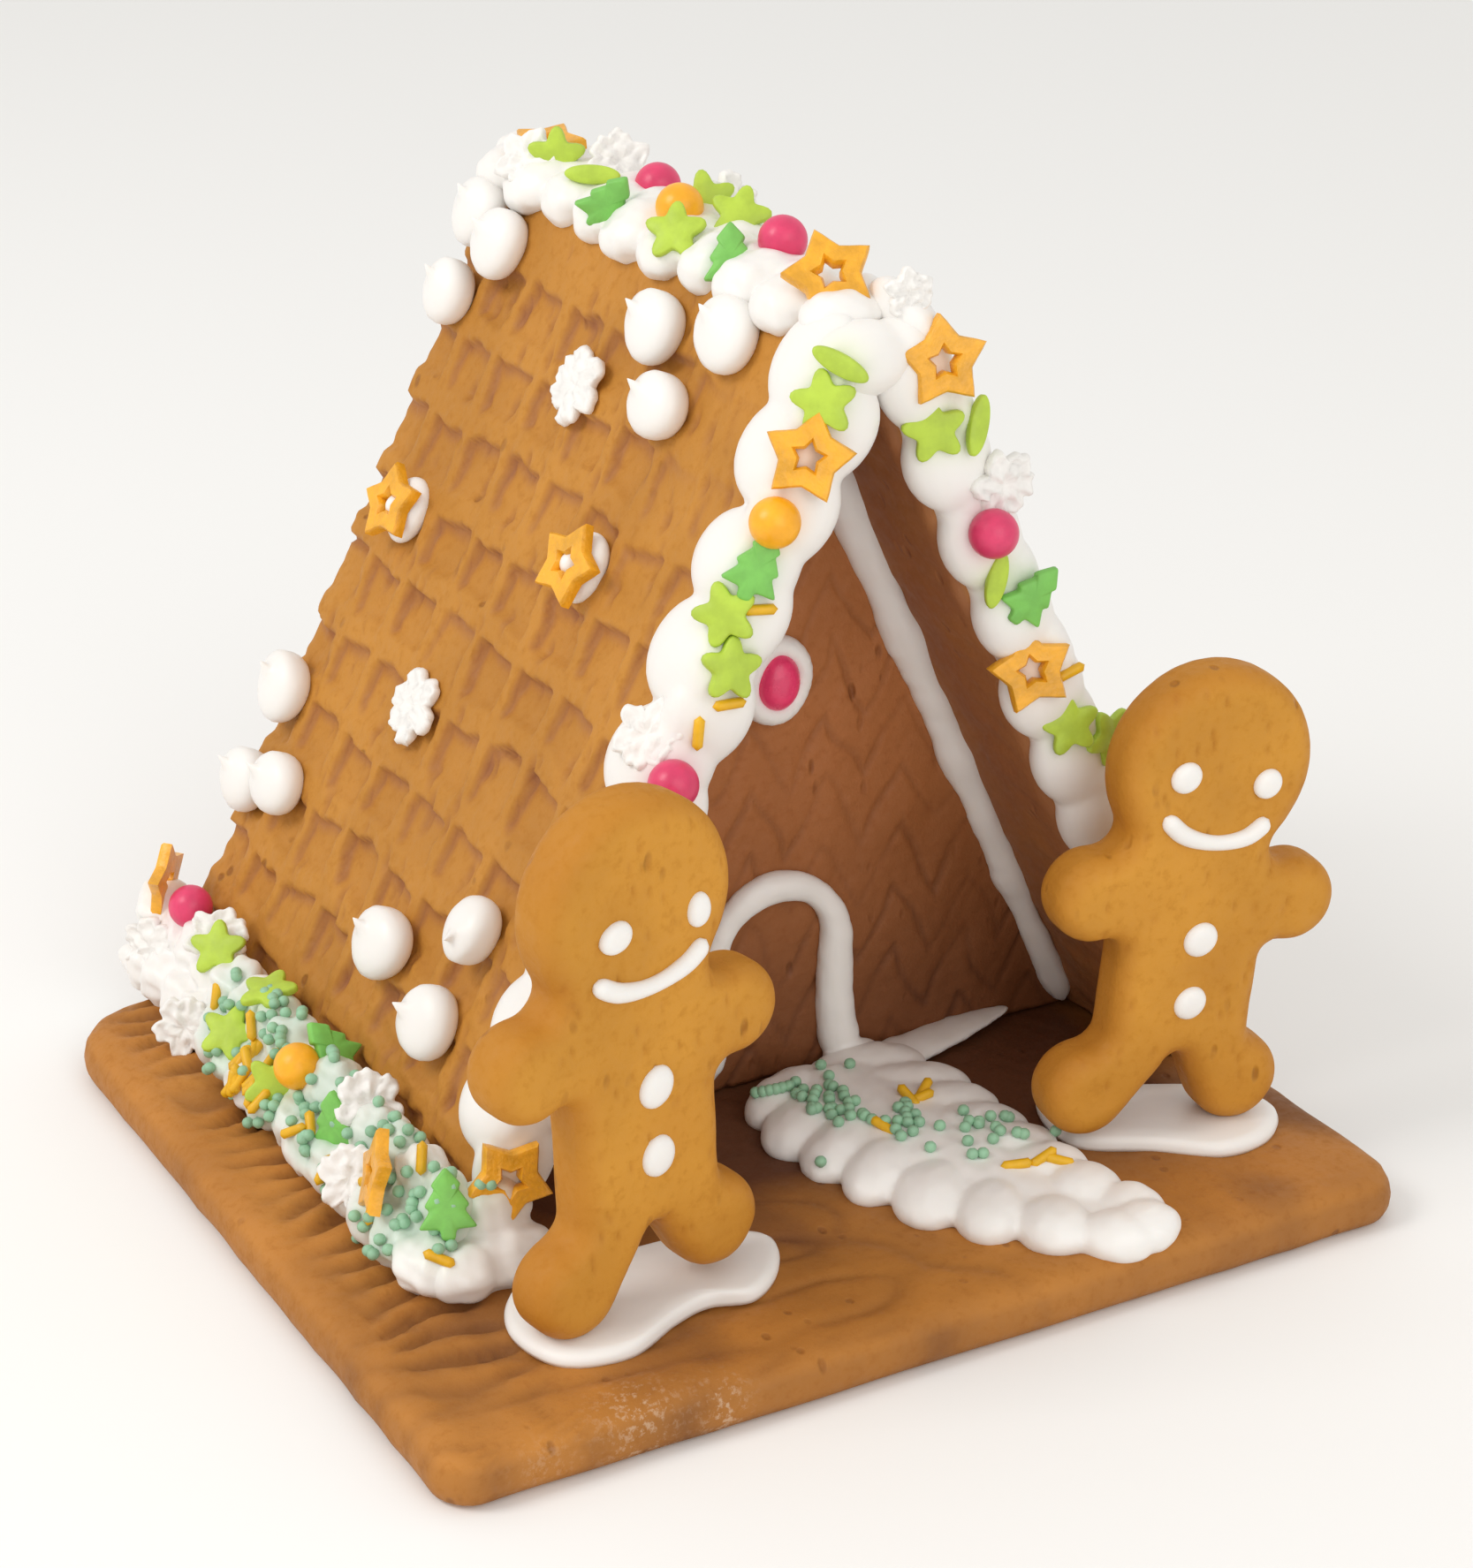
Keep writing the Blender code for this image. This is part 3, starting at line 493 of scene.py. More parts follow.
def fuse(points, faces, grain, calm):
    """Runs closed shapes together into one even skin and calms it; gives its points, faces and normals."""
    work = bpy.data.objects.new("parts", new_mesh("parts", points, faces))
    bpy.context.scene.collection.objects.link(work)
    remesh = work.modifiers.new("run_together", "REMESH")
    remesh.mode, remesh.voxel_size = "VOXEL", grain * MM
    soften = work.modifiers.new("calm", "SMOOTH")
    soften.factor, soften.iterations = 0.5, calm
    seen = work.evaluated_get(bpy.context.evaluated_depsgraph_get())
    result = bpy.data.meshes.new_from_object(seen)
    bpy.data.objects.remove(work, do_unlink=True)
    place, normal = np.empty(len(result.vertices) * 3), np.empty(len(result.vertices) * 3)
    result.vertices.foreach_get("co", place)
    result.vertices.foreach_get("normal", normal)
    corners = np.empty(len(result.loops), np.int32)
    result.loops.foreach_get("vertex_index", corners)
    bpy.data.meshes.remove(result)
    return place.reshape(-1, 3) / MM, all_quads(corners.reshape(-1, 4)), normal.reshape(-1, 3)


def melt(name, shapes, material, nodes, grain=1.0, calm=5, uneven=0.0, slot="icing"):
    """Eggs and strips of icing run together into one skin, calmed, and made a little uneven."""
    pile = Pile()
    for shape in shapes:
        pile.add(*shape)
    points, faces, normal = fuse(*pile.all(), sizes().icing_grain / MM * grain, calm)
    swell = ripple(points, 7.0, 3) * 0.6 + ripple(points, 3.2, 4) * 0.4
    points = points + normal * (swell * uneven)[:, None]
    return make_piece(name, points, faces, material, nodes, slot)


def stain_icing(sources, reach=3.4):
    """Colours the icing near each sugar piece: its share falls off with the square of the distance."""
    for made in [o for o in bpy.data.objects if o.type == "MESH" and o.name.startswith("icing_")]:
        place = np.empty(len(made.data.vertices) * 3)
        made.data.vertices.foreach_get("co", place)
        place = place.reshape(-1, 3) / MM
        total, colour_sum = np.zeros(len(place)), np.zeros((len(place), 3))
        for centre, shade, strength in sources:
            weight = strength * np.exp(-((place - centre) ** 2).sum(1) / (reach * reach))
            total += weight
            colour_sum += weight[:, None] * shade
        mean = colour_sum / np.maximum(total, 1e-6)[:, None]
        store(made.data, "stain", mean)
        store(made.data, "stain_share", np.clip(total, 0.0, 0.55))


def skin_of(*names):
    """Search trees of finished pieces, in millimetres."""
    trees = []
    for name in names:
        mesh = bpy.data.objects[name].data
        place, corners = np.empty(len(mesh.vertices) * 3, np.float32), np.empty(len(mesh.loops), np.int32)
        mesh.vertices.foreach_get("co", place)
        mesh.loops.foreach_get("vertex_index", corners)
        place = place.reshape(-1, 3) * (np.float32(1.0) / np.float32(MM))
        trees.append(BVHTree.FromPolygons(place.tolist(), corners.reshape(-1, 4).tolist()))
    return trees


def touch(trees, point):
    """Place and normal where the line through point along FACING first meets a skin, coming from outside."""
    toward = unit(FACING)
    start = Vector(np.asarray(point) + toward * 40.0)
    best = None
    for tree in trees:
        met = tree.ray_cast(start, Vector(-toward), 60.0)
        if met[0] is not None and (best is None or met[3] < best[3]):
            best = met
    if best is None:
        best = min((tree.find_nearest(Vector(point)) for tree in trees), key=lambda met: met[3])
    return np.array(best[0]), unit(np.array(best[1]))


def stand(points, centre, normal, spin=0.0):
    """Turns a flat shape's own axes to lie across normal, with its top up, spun in its plane."""
    side = np.cross((0.0, 0.0, 1.0), normal)
    side = unit(side) if np.linalg.norm(side) > 0.05 else np.array([1.0, 0.0, 0.0])
    up = np.cross(normal, side)
    c, s = math.cos(math.radians(spin)), math.sin(math.radians(spin))
    axes = np.array([c * side + s * up, c * up - s * side, normal])
    return centre + points @ axes


# ---- biscuit --------------------------------------------------------------------------------------

def waffle(y, slope):
    """Depth of the baked relief and the painted shade in its corners: rows of upright oblong cells between
    flat ridges. A cell's wall is steep under the ridge above it and gentle at its foot, and the grid wavers."""
    flat = np.stack([y, slope], -1)
    across = y + 0.55 * ripple(flat, 30.0, 21) + 0.30 * ripple(flat, 9.0, 22)
    down = slope + 0.7 * ripple(flat, 34.0, 23) + 0.30 * ripple(flat, 8.0, 24)
    share = ((TOP_ROW - down) % CELL_HIGH) / CELL_HIGH
    row = smooth(0.0, 0.07, share) * (1.0 - 0.30 * smooth(0.15, 0.55, share))
    row = row * (1.0 - smooth(0.58, 0.76, share))
    offset = (across - FIRST_RIB + CELL_LONG / 2) % CELL_LONG - CELL_LONG / 2
    rib = np.abs(offset)
    cell = np.stack([np.floor((y - FIRST_RIB) / CELL_LONG), np.floor((TOP_ROW - slope) / CELL_HIGH)], -1)
    strength = np.clip(0.85 + 0.12 * ripple(flat, 30.0, 25) + 0.18 * ripple(cell, 2.7, 26), 0.45, 1.25)
    plain_corner = smooth(36.0, 20.0, y) * smooth(96.0, 112.0, slope)
    fade = (1.0 - smooth(123.0, 126.0, down)) * (0.4 + 0.6 * smooth(3.0, 14.0, y)) * smooth(-1.0, 8.0, down)
    depth = row * smooth(1.1, 2.0, rib) * strength * fade * (1.0 - 0.85 * plain_corner)
    # Painted shade: a dark strip under each ridge and beside each rib, where the relief's shadows fall.
    under_ridge = smooth(-0.01, 0.03, share) * smooth(0.24, 0.05, share) * smooth(0.8, 1.6, rib)
    beside_rib = smooth(-0.9, -1.5, offset) * smooth(-3.4, -1.7, offset)
    return depth, np.maximum(under_ridge, beside_rib) * np.clip(depth * 2.0, 0.0, 1.0)


def cracks(points, places, reach, way, depth):
    """Short cracks: each is a dent that falls off like a bell, stretched along way."""
    away = points[:, None, :] - places[None]
    along = (away * way).sum(-1)
    square = (away ** 2).sum(-1) - along ** 2 * (1.0 - 1.0 / 9.0)
    return depth * np.exp(-square / (reach * reach)).max(1)


def roof_cracks(side, flat):
    """Larger and finer upright cracks over a panel, in random places."""
    rng = np.random.default_rng(47 + side)
    places = np.stack([rng.uniform(8, 98, 90), rng.uniform(8, 130, 90)], 1)
    fine = np.stack([rng.uniform(4, 100, 160), rng.uniform(4, 134, 160)], 1)
    spots = flat.reshape(-1, 2)
    split = cracks(spots, places, 0.62, np.array([0.12, 0.99]), 1.0)
    split = np.maximum(split, cracks(spots, fine, 0.42, np.array([0.2, 0.98]), 0.55))
    return split.reshape(flat.shape[:2])


def make_roof(side):
    """Roof panel: the waffle relief on its outer face, softened rims, and a plainer inner face darkened with
    painted shade.
    """
    foot, top = 0.3 / math.cos(TILT), SLOPE * (1.0 - PANEL_TOP_HALF / HALF_SPAN)
    inner_foot = foot + PANEL * math.tan(TILT)
    inner_top = (HALF_SPAN - 0.15 - PANEL * math.cos(TILT)) / math.sin(TILT)
    y, share = np.meshgrid(np.linspace(0, ROOF_LENGTH, 186), np.linspace(0, 1, 244), indexing="ij")
    slope = foot + share * (top - foot)
    relief, corner_shade = waffle(y if side > 0 else ROOF_LENGTH - y, slope)
    edge = np.minimum(np.minimum(y, ROOF_LENGTH - y), top - slope)
    near = np.clip(1.0 - edge / 2.4, 0.0, 1.0)
    rim = 2.2 * (1.0 - np.sqrt(1.0 - near ** 2 * 0.98))
    flat = np.stack([y, slope], -1)
    crumb = 0.10 * ripple(flat, 5.0, 31 + side) + 0.06 * ripple(flat, 2.6, 33 + side)
    depth = sizes().waffle_depth / MM
    split = roof_cracks(side, flat)
    outer = roof(side, y, slope, -np.maximum(0.0, depth * relief + rim + 0.16 + crumb * 0.8 + 0.75 * split))
    sag = 0.22 * ripple(flat, 24.0, 41) + 0.12 * ripple(flat, 7.0, 42)
    inner_slope = inner_foot + share * (inner_top - inner_foot)
    inner = roof(side, y, inner_slope, -PANEL + 0.35 + np.maximum(sag, -0.3) + rim * 0.5)
    rim_bake = [0.02, 0.05, 0.08, 0.12, 0.25, 0.6]
    points, faces = slab(outer, inner, rim=len(rim_bake), bulge=0.25)
    bake = np.zeros(len(points))
    size = y.size
    # Outer face: painted shade in the relief's hollows and corners, a darker rim and darker cracks.
    bake[:size] = (0.08 * relief + 0.66 * corner_shade + 0.05 * near + 0.55 * split).ravel()
    # Inner face: darkened nearly to the edge colour all over, painted shade of the space under the roof.
    bake[size:2 * size] = (0.93 + 0.07 * ripple(flat, 16.0, 43)).ravel()
    bake[2 * size:] = np.repeat(rim_bake, (len(points) - 2 * size) // len(rim_bake))
    name = "left" if side > 0 else "right"
    skin = plain_biscuit("roof_biscuit_" + name, tone("roof"), np.array([0.33, 0.130, 0.050]))
    make_piece("roof_panel_" + name, points, faces, skin, ["roof_" + name], "roof", bake=np.clip(bake, 0, 1))


def make_wall(name, node, setback, front):
    """Gable wall: a triangle of biscuit whose face carries soft, pressed, zigzag lines."""
    half = INNER_HALF - 0.5
    rise = half / math.tan(TILT)
    leg_width, line_gap = 6.5, 10.5
    u, t = np.meshgrid(np.linspace(-1, 1, 140), np.linspace(0, 0.985, 160), indexing="ij")
    z = BASE + rise * t
    x = half * (1 - t) * u
    flat = np.stack([x, z], -1)
    leg = np.abs((x - 2.0 + leg_width + 0.5 * ripple(flat, 20.0, 51)) % (2 * leg_width) - leg_width)
    line = (z - BASE - 1.75 * leg + 1.1 * ripple(flat, 15.0, 52)) % line_gap
    groove = 1.0 - smooth(0.2, 1.5, np.abs(line - line_gap / 2))
    groove *= 0.5 + 0.5 * smooth(-0.3, 0.6, ripple(flat, 26.0, 53))
    crumb = 0.15 * ripple(flat, 11.0, 54) + 0.06 * ripple(flat, 3.0, 55)
    pressed = 0.48 * groove + 0.25 + crumb
    plain = 0.3 + 0 * pressed
    outer = house(x, setback + (pressed if front else plain), z)
    inner = house(x, setback + WALL - (plain if front else pressed), z)
    points, faces = slab(outer, inner, rim=2)
    bake = np.full(len(points), 0.1)
    # Darker in the pressed grooves, and much darker towards the wall's foot: painted shade deep in the porch.
    bake[:groove.size] = (0.02 + 0.24 * groove + 0.72 * smooth(70.0, 8.0, z) ** 1.4).ravel()
    skin = plain_biscuit(name + "_biscuit", tone("wall"), tone("wall") * np.array([0.30, 0.27, 0.34]))
    make_piece(name, points, faces, skin, [node], "wall", bake=np.clip(bake, 0, 1))


def board_outline(inset, count):
    """Rounded oblong with a different radius at each corner, moved in by inset."""
    corners = []
    sides = ((-1, -1), (1, -1), (1, 1), (-1, 1))
    for side, start, radius in zip(sides, (180, 270, 0, 90), (6, 8, 12, 14)):
        turn = np.radians(np.linspace(start, start + 90, 12))
        centre = np.array(side) * (BOARD[:2] / 2 - radius)
        corners.append(centre + (radius - inset) * np.stack([np.cos(turn), np.sin(turn)], 1))
    return resample(np.concatenate(corners), count)


BOARD_RIM = ((3.0, 0.0), (0.9, 0.8), (0.25, 2.2), (0.05, 3.8), (0.35, 5.3), (1.2, 6.6), (2.4, 7.45),
             (3.8, 7.85))                           # how far in and how high each ring of the rim lies
FLOUR = (((-64.5, -75.5), 4.5), ((-50.0, -69.0), 5.0), ((-38.0, -71.0), 3.0))


def board_dents(x, y):
    """Depth below the flat top: short creases pulled in beside the house's left foot, soft wrinkles in
    front, and a slight unevenness all over."""
    flat = np.stack([x, y], -1)
    left = RIDGE_X - HALF_SPAN
    pull = (y + 2.0 * ripple(flat, 26.0, 61) + 0.10 * (left - x)) / 5.6
    pleat = (0.5 - 0.5 * np.cos(2 * math.pi * pull)) ** 2
    beside = smooth(left + 2.0, left - 4.0, x) * smooth(left - 19.0, left - 8.0, x) * smooth(-66.0, -46.0, y)
    beside *= 0.85 + 0.30 * ripple(flat, 17.0, 66)
    swirl = 1.0 - np.abs(ripple(flat * np.array([0.55, 1.0]), 15.0, 62, 8))
    wrinkle = np.clip(swirl, 0, 1) ** 2.2 * smooth(-24.0, -40.0, y) * smooth(42.0, -10.0, x)
    dent = 1.9 * pleat * np.clip(beside, 0, 1) + 0.55 * wrinkle
    return dent + 0.14 * (ripple(flat, 19.0, 63) + 1.0) + 0.05 * (ripple(flat, 5.0, 64) + 1.0)


def board_bake_and_shade(x, y, z, dent):
    """Painted shade under the roof and in the dents, partly bake and partly painted shadow by the left foot;
    darker round the rim, in a few broad patches and towards the right.
    """
    flat = np.stack([x, y], -1)
    left = RIDGE_X - HALF_SPAN
    depth = y + 0.12 * (x - RIDGE_X) + 3.0 * ripple(flat, 30.0, 69)
    # Painted shade of the porch: the board under the roof goes nearly to the dark edge colour.
    porch_shade = smooth(62.0, 40.0, np.abs(x - RIDGE_X)) * smooth(-46.0, -20.0, depth)
    by_foot = smooth(left - 13.0, left - 2.0, x) * smooth(-60.0, -44.0, y)
    # The dents get painted shade in their creases; by the left foot the darkening is partly bake, partly
    # painted shadow.
    bake = 0.93 * porch_shade + 0.42 * np.clip(dent - 0.15, 0, 1) + 0.16 * (z < 6.0) + 0.30 * by_foot
    bake += 0.30 * smooth(0.3, 1.1, ripple(flat, 30.0, 67)) * smooth(-20.0, -50.0, y)
    bake += 0.14 * smooth(8.0, 40.0, x)
    return np.clip(bake, 0, 0.96)


def make_board():
    """Board: rings run in from its rounded outline to the middle of its top, which is dented and creased."""
    count = 460
    rings = [np.column_stack([board_outline(inset, count), np.full(count, z)]) for inset, z in BOARD_RIM]
    edge = board_outline(5.0, count)
    for share in np.linspace(1.0, 0.03, 110):
        rings.append(np.column_stack([edge * share, np.full(count, BOARD[2])]))
    rings = np.array(rings)
    x, y, z = rings[..., 0].copy(), rings[..., 1].copy(), rings[..., 2]
    dent = board_dents(x, y)
    rings[..., 2] = np.where(z > 6.0, z - dent * smooth(6.0, 8.0, z), z)
    by_rim = (np.arange(len(rings)) < len(BOARD_RIM) + 2)[:, None]
    wave = 0.30 * ripple(np.stack([x, y, z], -1), 24.0, 65) * (z > 0.5) * by_rim
    rings[..., 0] -= np.sign(x) * np.abs(wave) * (np.abs(x) > 72)
    rings[..., 1] -= np.sign(y) * np.abs(wave) * (np.abs(y) > 65)
    points, faces = capped(rings)
    flour = 0 * x
    for place, reach in FLOUR:
        flour = flour + np.exp(-((np.stack([x, y], -1) - np.array(place)) ** 2).sum(-1) / reach ** 2)
    # The dark edge colour is painted shade, the near-black of the shaded porch floor.
    skin = floured_biscuit("board_biscuit", tone("board"), np.array([0.105, 0.036, 0.016]))
    make_piece("biscuit_board", points, faces, skin, ["board"], "board",
               bake=board_bake_and_shade(x, y, z, dent).ravel(), flour=np.clip(flour, 0, 1).ravel())


MEN = {
    "left": {"place": (-38.7, -49.2), "turn": -10.0, "lean": -3.6, "head": 59.1,
             "left_arm": (17.6, 41.0), "right_arm": (15.9, 38.2),
             "left_foot": (12.8, 6.3), "right_foot": (11.1, 7.2),
             "eyes": ((-5.2, 57.6, 2.4, 2.2, 10), (8.2, 56.8, 1.7, 2.5, -8)),
             "smile": ((-9.0, 52.2), (-5.0, 49.6), (0.2, 48.7), (5.4, 49.6), (9.3, 52.0)),
             "buttons": ((0.1, 33.7, 2.6, 3.0, -12), (-0.1, 23.3, 2.6, 2.9, 4))},
    "right": {"place": (51.2, -43.1), "turn": 8.3, "lean": 4.2, "head": 56.7,
              "left_arm": (16.4, 37.7), "right_arm": (16.1, 35.2),
              "left_foot": (13.6, 6.6), "right_foot": (11.1, 6.6),
              "eyes": ((-6.2, 56.8, 2.3, 2.3, 0), (7.2, 55.0, 2.1, 2.3, 0)),
              "smile": ((-8.8, 50.9), (-5.0, 47.8), (0.0, 46.4), (4.9, 46.9), (8.3, 49.4)),
              "buttons": ((0.0, 31.2, 2.6, 2.6, 0), (-0.2, 21.1, 2.5, 2.5, 0))},
}
HEAD, ARM, FOOT, WAIST, MAN_THICK = 15.1, 6.4, 6.6, 11.4, 10.0
HIP_FILLET, PIT_FILLET, NECK_FILLET = 3.0, 2.5, 3.2
MAN_STEPS = 300


def belt(circles):
    """Outline that runs round circles like a belt; a negative radius is passed on its other side."""
    angles = []
    for (x1, y1, r1), (x2, y2, r2) in zip(circles, circles[1:] + circles[:1]):
        along = np.array([x2 - x1, y2 - y1])
        distance = np.hypot(*along)
        along = along / distance
        lean = (r1 - r2) / distance
        normal = lean * along + math.sqrt(max(0.0, 1.0 - lean * lean)) * np.array([along[1], -along[0]])
        angles.append(math.atan2(normal[1], normal[0]))
    points = []
    for index, (x, y, radius) in enumerate(circles):
        start, end = angles[index - 1], angles[index]
        if radius > 0:
            end += 2 * math.pi * (end < start)
        else:
            end -= 2 * math.pi * (end > start)
        turn = np.linspace(start, end, 24)
        points.append(np.stack([x + radius * np.cos(turn), y + radius * np.sin(turn)], 1))
    return np.concatenate(points)


def man_outline(man, inset=0.0):
    """A cutter's belt: crotch, foot, hip, armpit, arm, neck and head, then down the far side. Moving it in
    takes the inset off every radius."""
    head = (0.0, man["head"], HEAD)

    def limb_side(sign, arm_place, foot_place):
        """Foot, hip, armpit, arm and neck of one side; the hollow ones touch both of their neighbours."""
        ax, az = sign * arm_place[0], arm_place[1]
        fx, fz = sign * foot_place[0], foot_place[1]
        hip, pit = sign * (WAIST + HIP_FILLET), sign * (WAIST + PIT_FILLET)
        hip_z = fz + math.sqrt((FOOT + HIP_FILLET) ** 2 - (fx - hip) ** 2)
        pit_z = az - math.sqrt((ARM + PIT_FILLET) ** 2 - (ax - pit) ** 2)
        d = math.hypot(ax, az - head[1])
        ex, ez = ax / d, (az - head[1]) / d
        a = ((HEAD + NECK_FILLET) ** 2 - (ARM + NECK_FILLET) ** 2 + d * d) / (2 * d)
        h = math.sqrt((HEAD + NECK_FILLET) ** 2 - a * a)
        neck = (a * ex - sign * h * ez, head[1] + a * ez + sign * h * ex)
        return [(fx, fz, FOOT), (hip, hip_z, -HIP_FILLET), (pit, pit_z, -PIT_FILLET), (ax, az, ARM),
                (*neck, -NECK_FILLET)]
    right = limb_side(1, man["right_arm"], man["right_foot"])
    left = limb_side(-1, man["left_arm"], man["left_foot"])
    circles = [(0.0, 10.8, -1.5)] + right + [head] + left[::-1]
    return resample(belt([(x, y, radius - inset) for x, y, radius in circles]), MAN_STEPS)


def man_place(man, across, up, back):
    """Points of a standing man: across his front, up from his feet and back from his front face."""
    lean, turn = math.radians(man["lean"]), math.radians(man["turn"])
    feet = ((-man["left_foot"][0], man["left_foot"][1]), (man["right_foot"][0], man["right_foot"][1]))
    lowest = min(-u * math.sin(lean) + w * math.cos(lean) for u, w in feet) - FOOT
    u = across * math.cos(lean) + up * math.sin(lean)
    w = -across * math.sin(lean) + up * math.cos(lean)
    behind = back - MAN_THICK / 2
    x, y = man["place"]
    return np.stack([x + u * math.cos(turn) + behind * math.sin(turn),
                     y - u * math.sin(turn) + behind * math.cos(turn),
                     BASE + 1.7 - lowest + w + 0 * behind], -1)


def make_man(name):
    """Rings moved in from the outline rise like a quarter circle on both faces; they are fused into one
    skin, which swells gently and has short cracks in its front."""
    man = MEN[name]
    half = MAN_THICK / 2
    turn = np.radians([1, 14, 30, 48, 68, 90])
    rings = []
    for a in np.concatenate([-turn[::-1], turn]):
        flat = man_outline(man, 3.5 * (1.0 - math.cos(a)) - 0.25)
        depth = half + math.copysign(1.5, a) + 3.35 * math.sin(a)
        rings.append(np.column_stack([flat, np.full(MAN_STEPS, depth)]))
    points, faces, normal = fuse(*capped(rings), 0.52, 8)
    flat = points[:, :2]
    rng = np.random.default_rng(70 + len(name))
    places = np.column_stack([rng.uniform(-16, 16, 70), rng.uniform(8, 72, 70)])
    split = cracks(flat, places, 0.30, np.array([0.05, 0.998]), 1.0) * (normal[:, 2] < -0.3)
    swell = 0.14 * ripple(points, 13.0, 71) + 0.06 * ripple(points, 4.5, 72) - 0.45 * split
    points = points + normal * np.minimum(swell, 0.12)[:, None]
    inside = outline_distance(flat, man_outline(man)[::3])
    bake = 0.42 * (1.0 - smooth(0.0, 3.4, inside)) + 0.10 * ripple(flat, 20.0, 73) + 0.32 * split
    bake = bake + 0.10 * smooth(-0.2, 0.9, normal[:, 2]) + 0.12 * smooth(34.0, 6.0, flat[:, 1])
    points = man_place(man, flat[:, 0], flat[:, 1], points[:, 2])
    edge = tone("man") * np.array([0.76, 0.62, 0.5])
    skin = plain_biscuit("man_biscuit_" + name, tone("man"), edge, 1.0, 0.8)
    make_piece("biscuit_man_" + name, points, faces, skin, ["man_" + name], "man", bake=np.clip(bake, 0, 1))


FACE_DOME = ((0.98, -0.5), (1.02, 0.15), (0.97, 0.55), (0.82, 0.95), (0.55, 1.2), (0.2, 1.28))


def make_face(name, icing):
    """Eyes and buttons are low round domes, and the smile is a strip along a curve."""
    man = MEN[name]
    pile = Pile()
    turn = np.linspace(0, 2 * math.pi, 28, endpoint=False)
    for u, w, wide, tall, spin in man["eyes"] + man["buttons"]:
        a = math.radians(spin)
        wobble = 1.0 + 0.04 * np.sin(2 * turn + u)
        rings = []
        for share, height in FACE_DOME:
            p, q = wide * share * np.cos(turn) * wobble, tall * share * np.sin(turn) * wobble
            rings.append(man_place(man, u + p * math.cos(a) - q * math.sin(a),
                                   w + p * math.sin(a) + q * math.cos(a), 0.15 - height + 0 * turn))
        pile.add(*capped(rings))
    line = curve_through(man["smile"], 40)
    path = man_place(man, line[:, 0], line[:, 1], np.full(40, 0.0))
    turn = math.radians(man["turn"])
    out = np.array([-math.sin(turn), -math.cos(turn), 0.0])
    radius = 1.28 * rounded_ends(40, 0.09) * (1.0 + 0.10 * np.sin(np.linspace(0, 9, 40)))
    pile.add(*bead_along(path, radius, out, 0.85))
    points, faces = pile.all()
    make_piece("icing_face_" + name, points, faces, icing, slot="icing")


# ---- piped icing ----------------------------------------------------------------------------------

def edge_shapes(side, slopes, spread):
    """Snail border: a strip down the panel's end, and lobes lapped over its outer face and on the strip."""
    axes = roof_axes(side)[[1, 0, 2]]
    run = np.linspace(slopes[0] + 3.0, slopes[-1] - 7.0, 60)
    strip = roof(side, -0.4, run, -2.6)
    radius = (5.5 + 0.35 * np.sin(run / 2.3)) * rounded_ends(60, 0.04)
    shapes = [bead_along(strip, radius, (0, -1, 0), 0.78, 20)]
    for index, slope in enumerate(slopes):
        grow = 1.0 + 0.08 * math.sin(index * 2.1 + side)
        shapes.append(egg(roof(side, 2.7, slope, -0.2), axes, (8.0 * grow, 7.9 * grow, 4.1), -0.08))
        shapes.append(egg(roof(side, -1.4, slope - spread, -3.6), axes, (8.0, 4.2, 6.4 * grow), 0.05))
    return shapes


def make_edges(icing):
    """Both front edges of the roof, piped downwards lobe by lobe."""
    left = [132.4, 120.1, 104.6, 90.6, 75.0, 61.0, 47.5, 34.5, 22.5]
    right = [137.0, 124.0, 110.0, 96.5, 82.5, 69.5, 58.0]
    melt("icing_edge_left", edge_shapes(1, left, 6.4), icing, ["edge_icing_left"], calm=14)
    melt("icing_edge_right", edge_shapes(-1, right, 6.0), icing, ["edge_icing_right"], calm=14)


def make_ridge(icing):
    """Ridge border: leaning eggs on both sides in turn, smaller at the front, under a row of low eggs."""
    shapes = []
    for index, y in enumerate(np.arange(4.6, 102.0, 10.6)):
        grow = (1.0 + 0.10 * math.sin(index * 1.7)) * min(1.0, 0.78 + 0.11 * index)
        for side, shift in ((-1, 0.0), (1, 5.4)):
            lean = unit(np.array([side * 0.8, 0.55, -0.35]))
            axes = np.array([lean, unit(np.cross(UP, lean)), unit(np.cross(lean, np.cross(UP, lean)))])
            centre = house(side * 3.4, min(y + shift, ROOF_LENGTH - 4.6), 132.4)
            shapes.append(egg(centre, axes, (6.8 * grow, 6.2 * grow, 4.4), 0.10))
        shapes.append(egg(house(0.5 * math.sin(index), y + 3.0, 133.4), (ALONG, ACROSS, UP),
                          (7.0, 5.0, 3.5 * grow)))
    melt("icing_ridge", shapes, icing, ["ridge_icing"], calm=8, uneven=0.25)


def make_gable(icing):
    """The front peak: three eggs that join both edges."""
    shapes = [egg(house(-2.6, -1.0, 128.6), (ACROSS, ALONG, UP), (7.8, 5.0, 5.4), -0.12),
              egg(house(3.6, -0.6, 129.8), (ACROSS, ALONG, UP), (5.6, 4.4, 4.0)),
              egg(house(-5.0, 1.2, 124.6), (UP, ALONG, ACROSS), (6.0, 4.8, 5.2))]
    melt("icing_gable", shapes, icing, ["gable_icing"], calm=16)


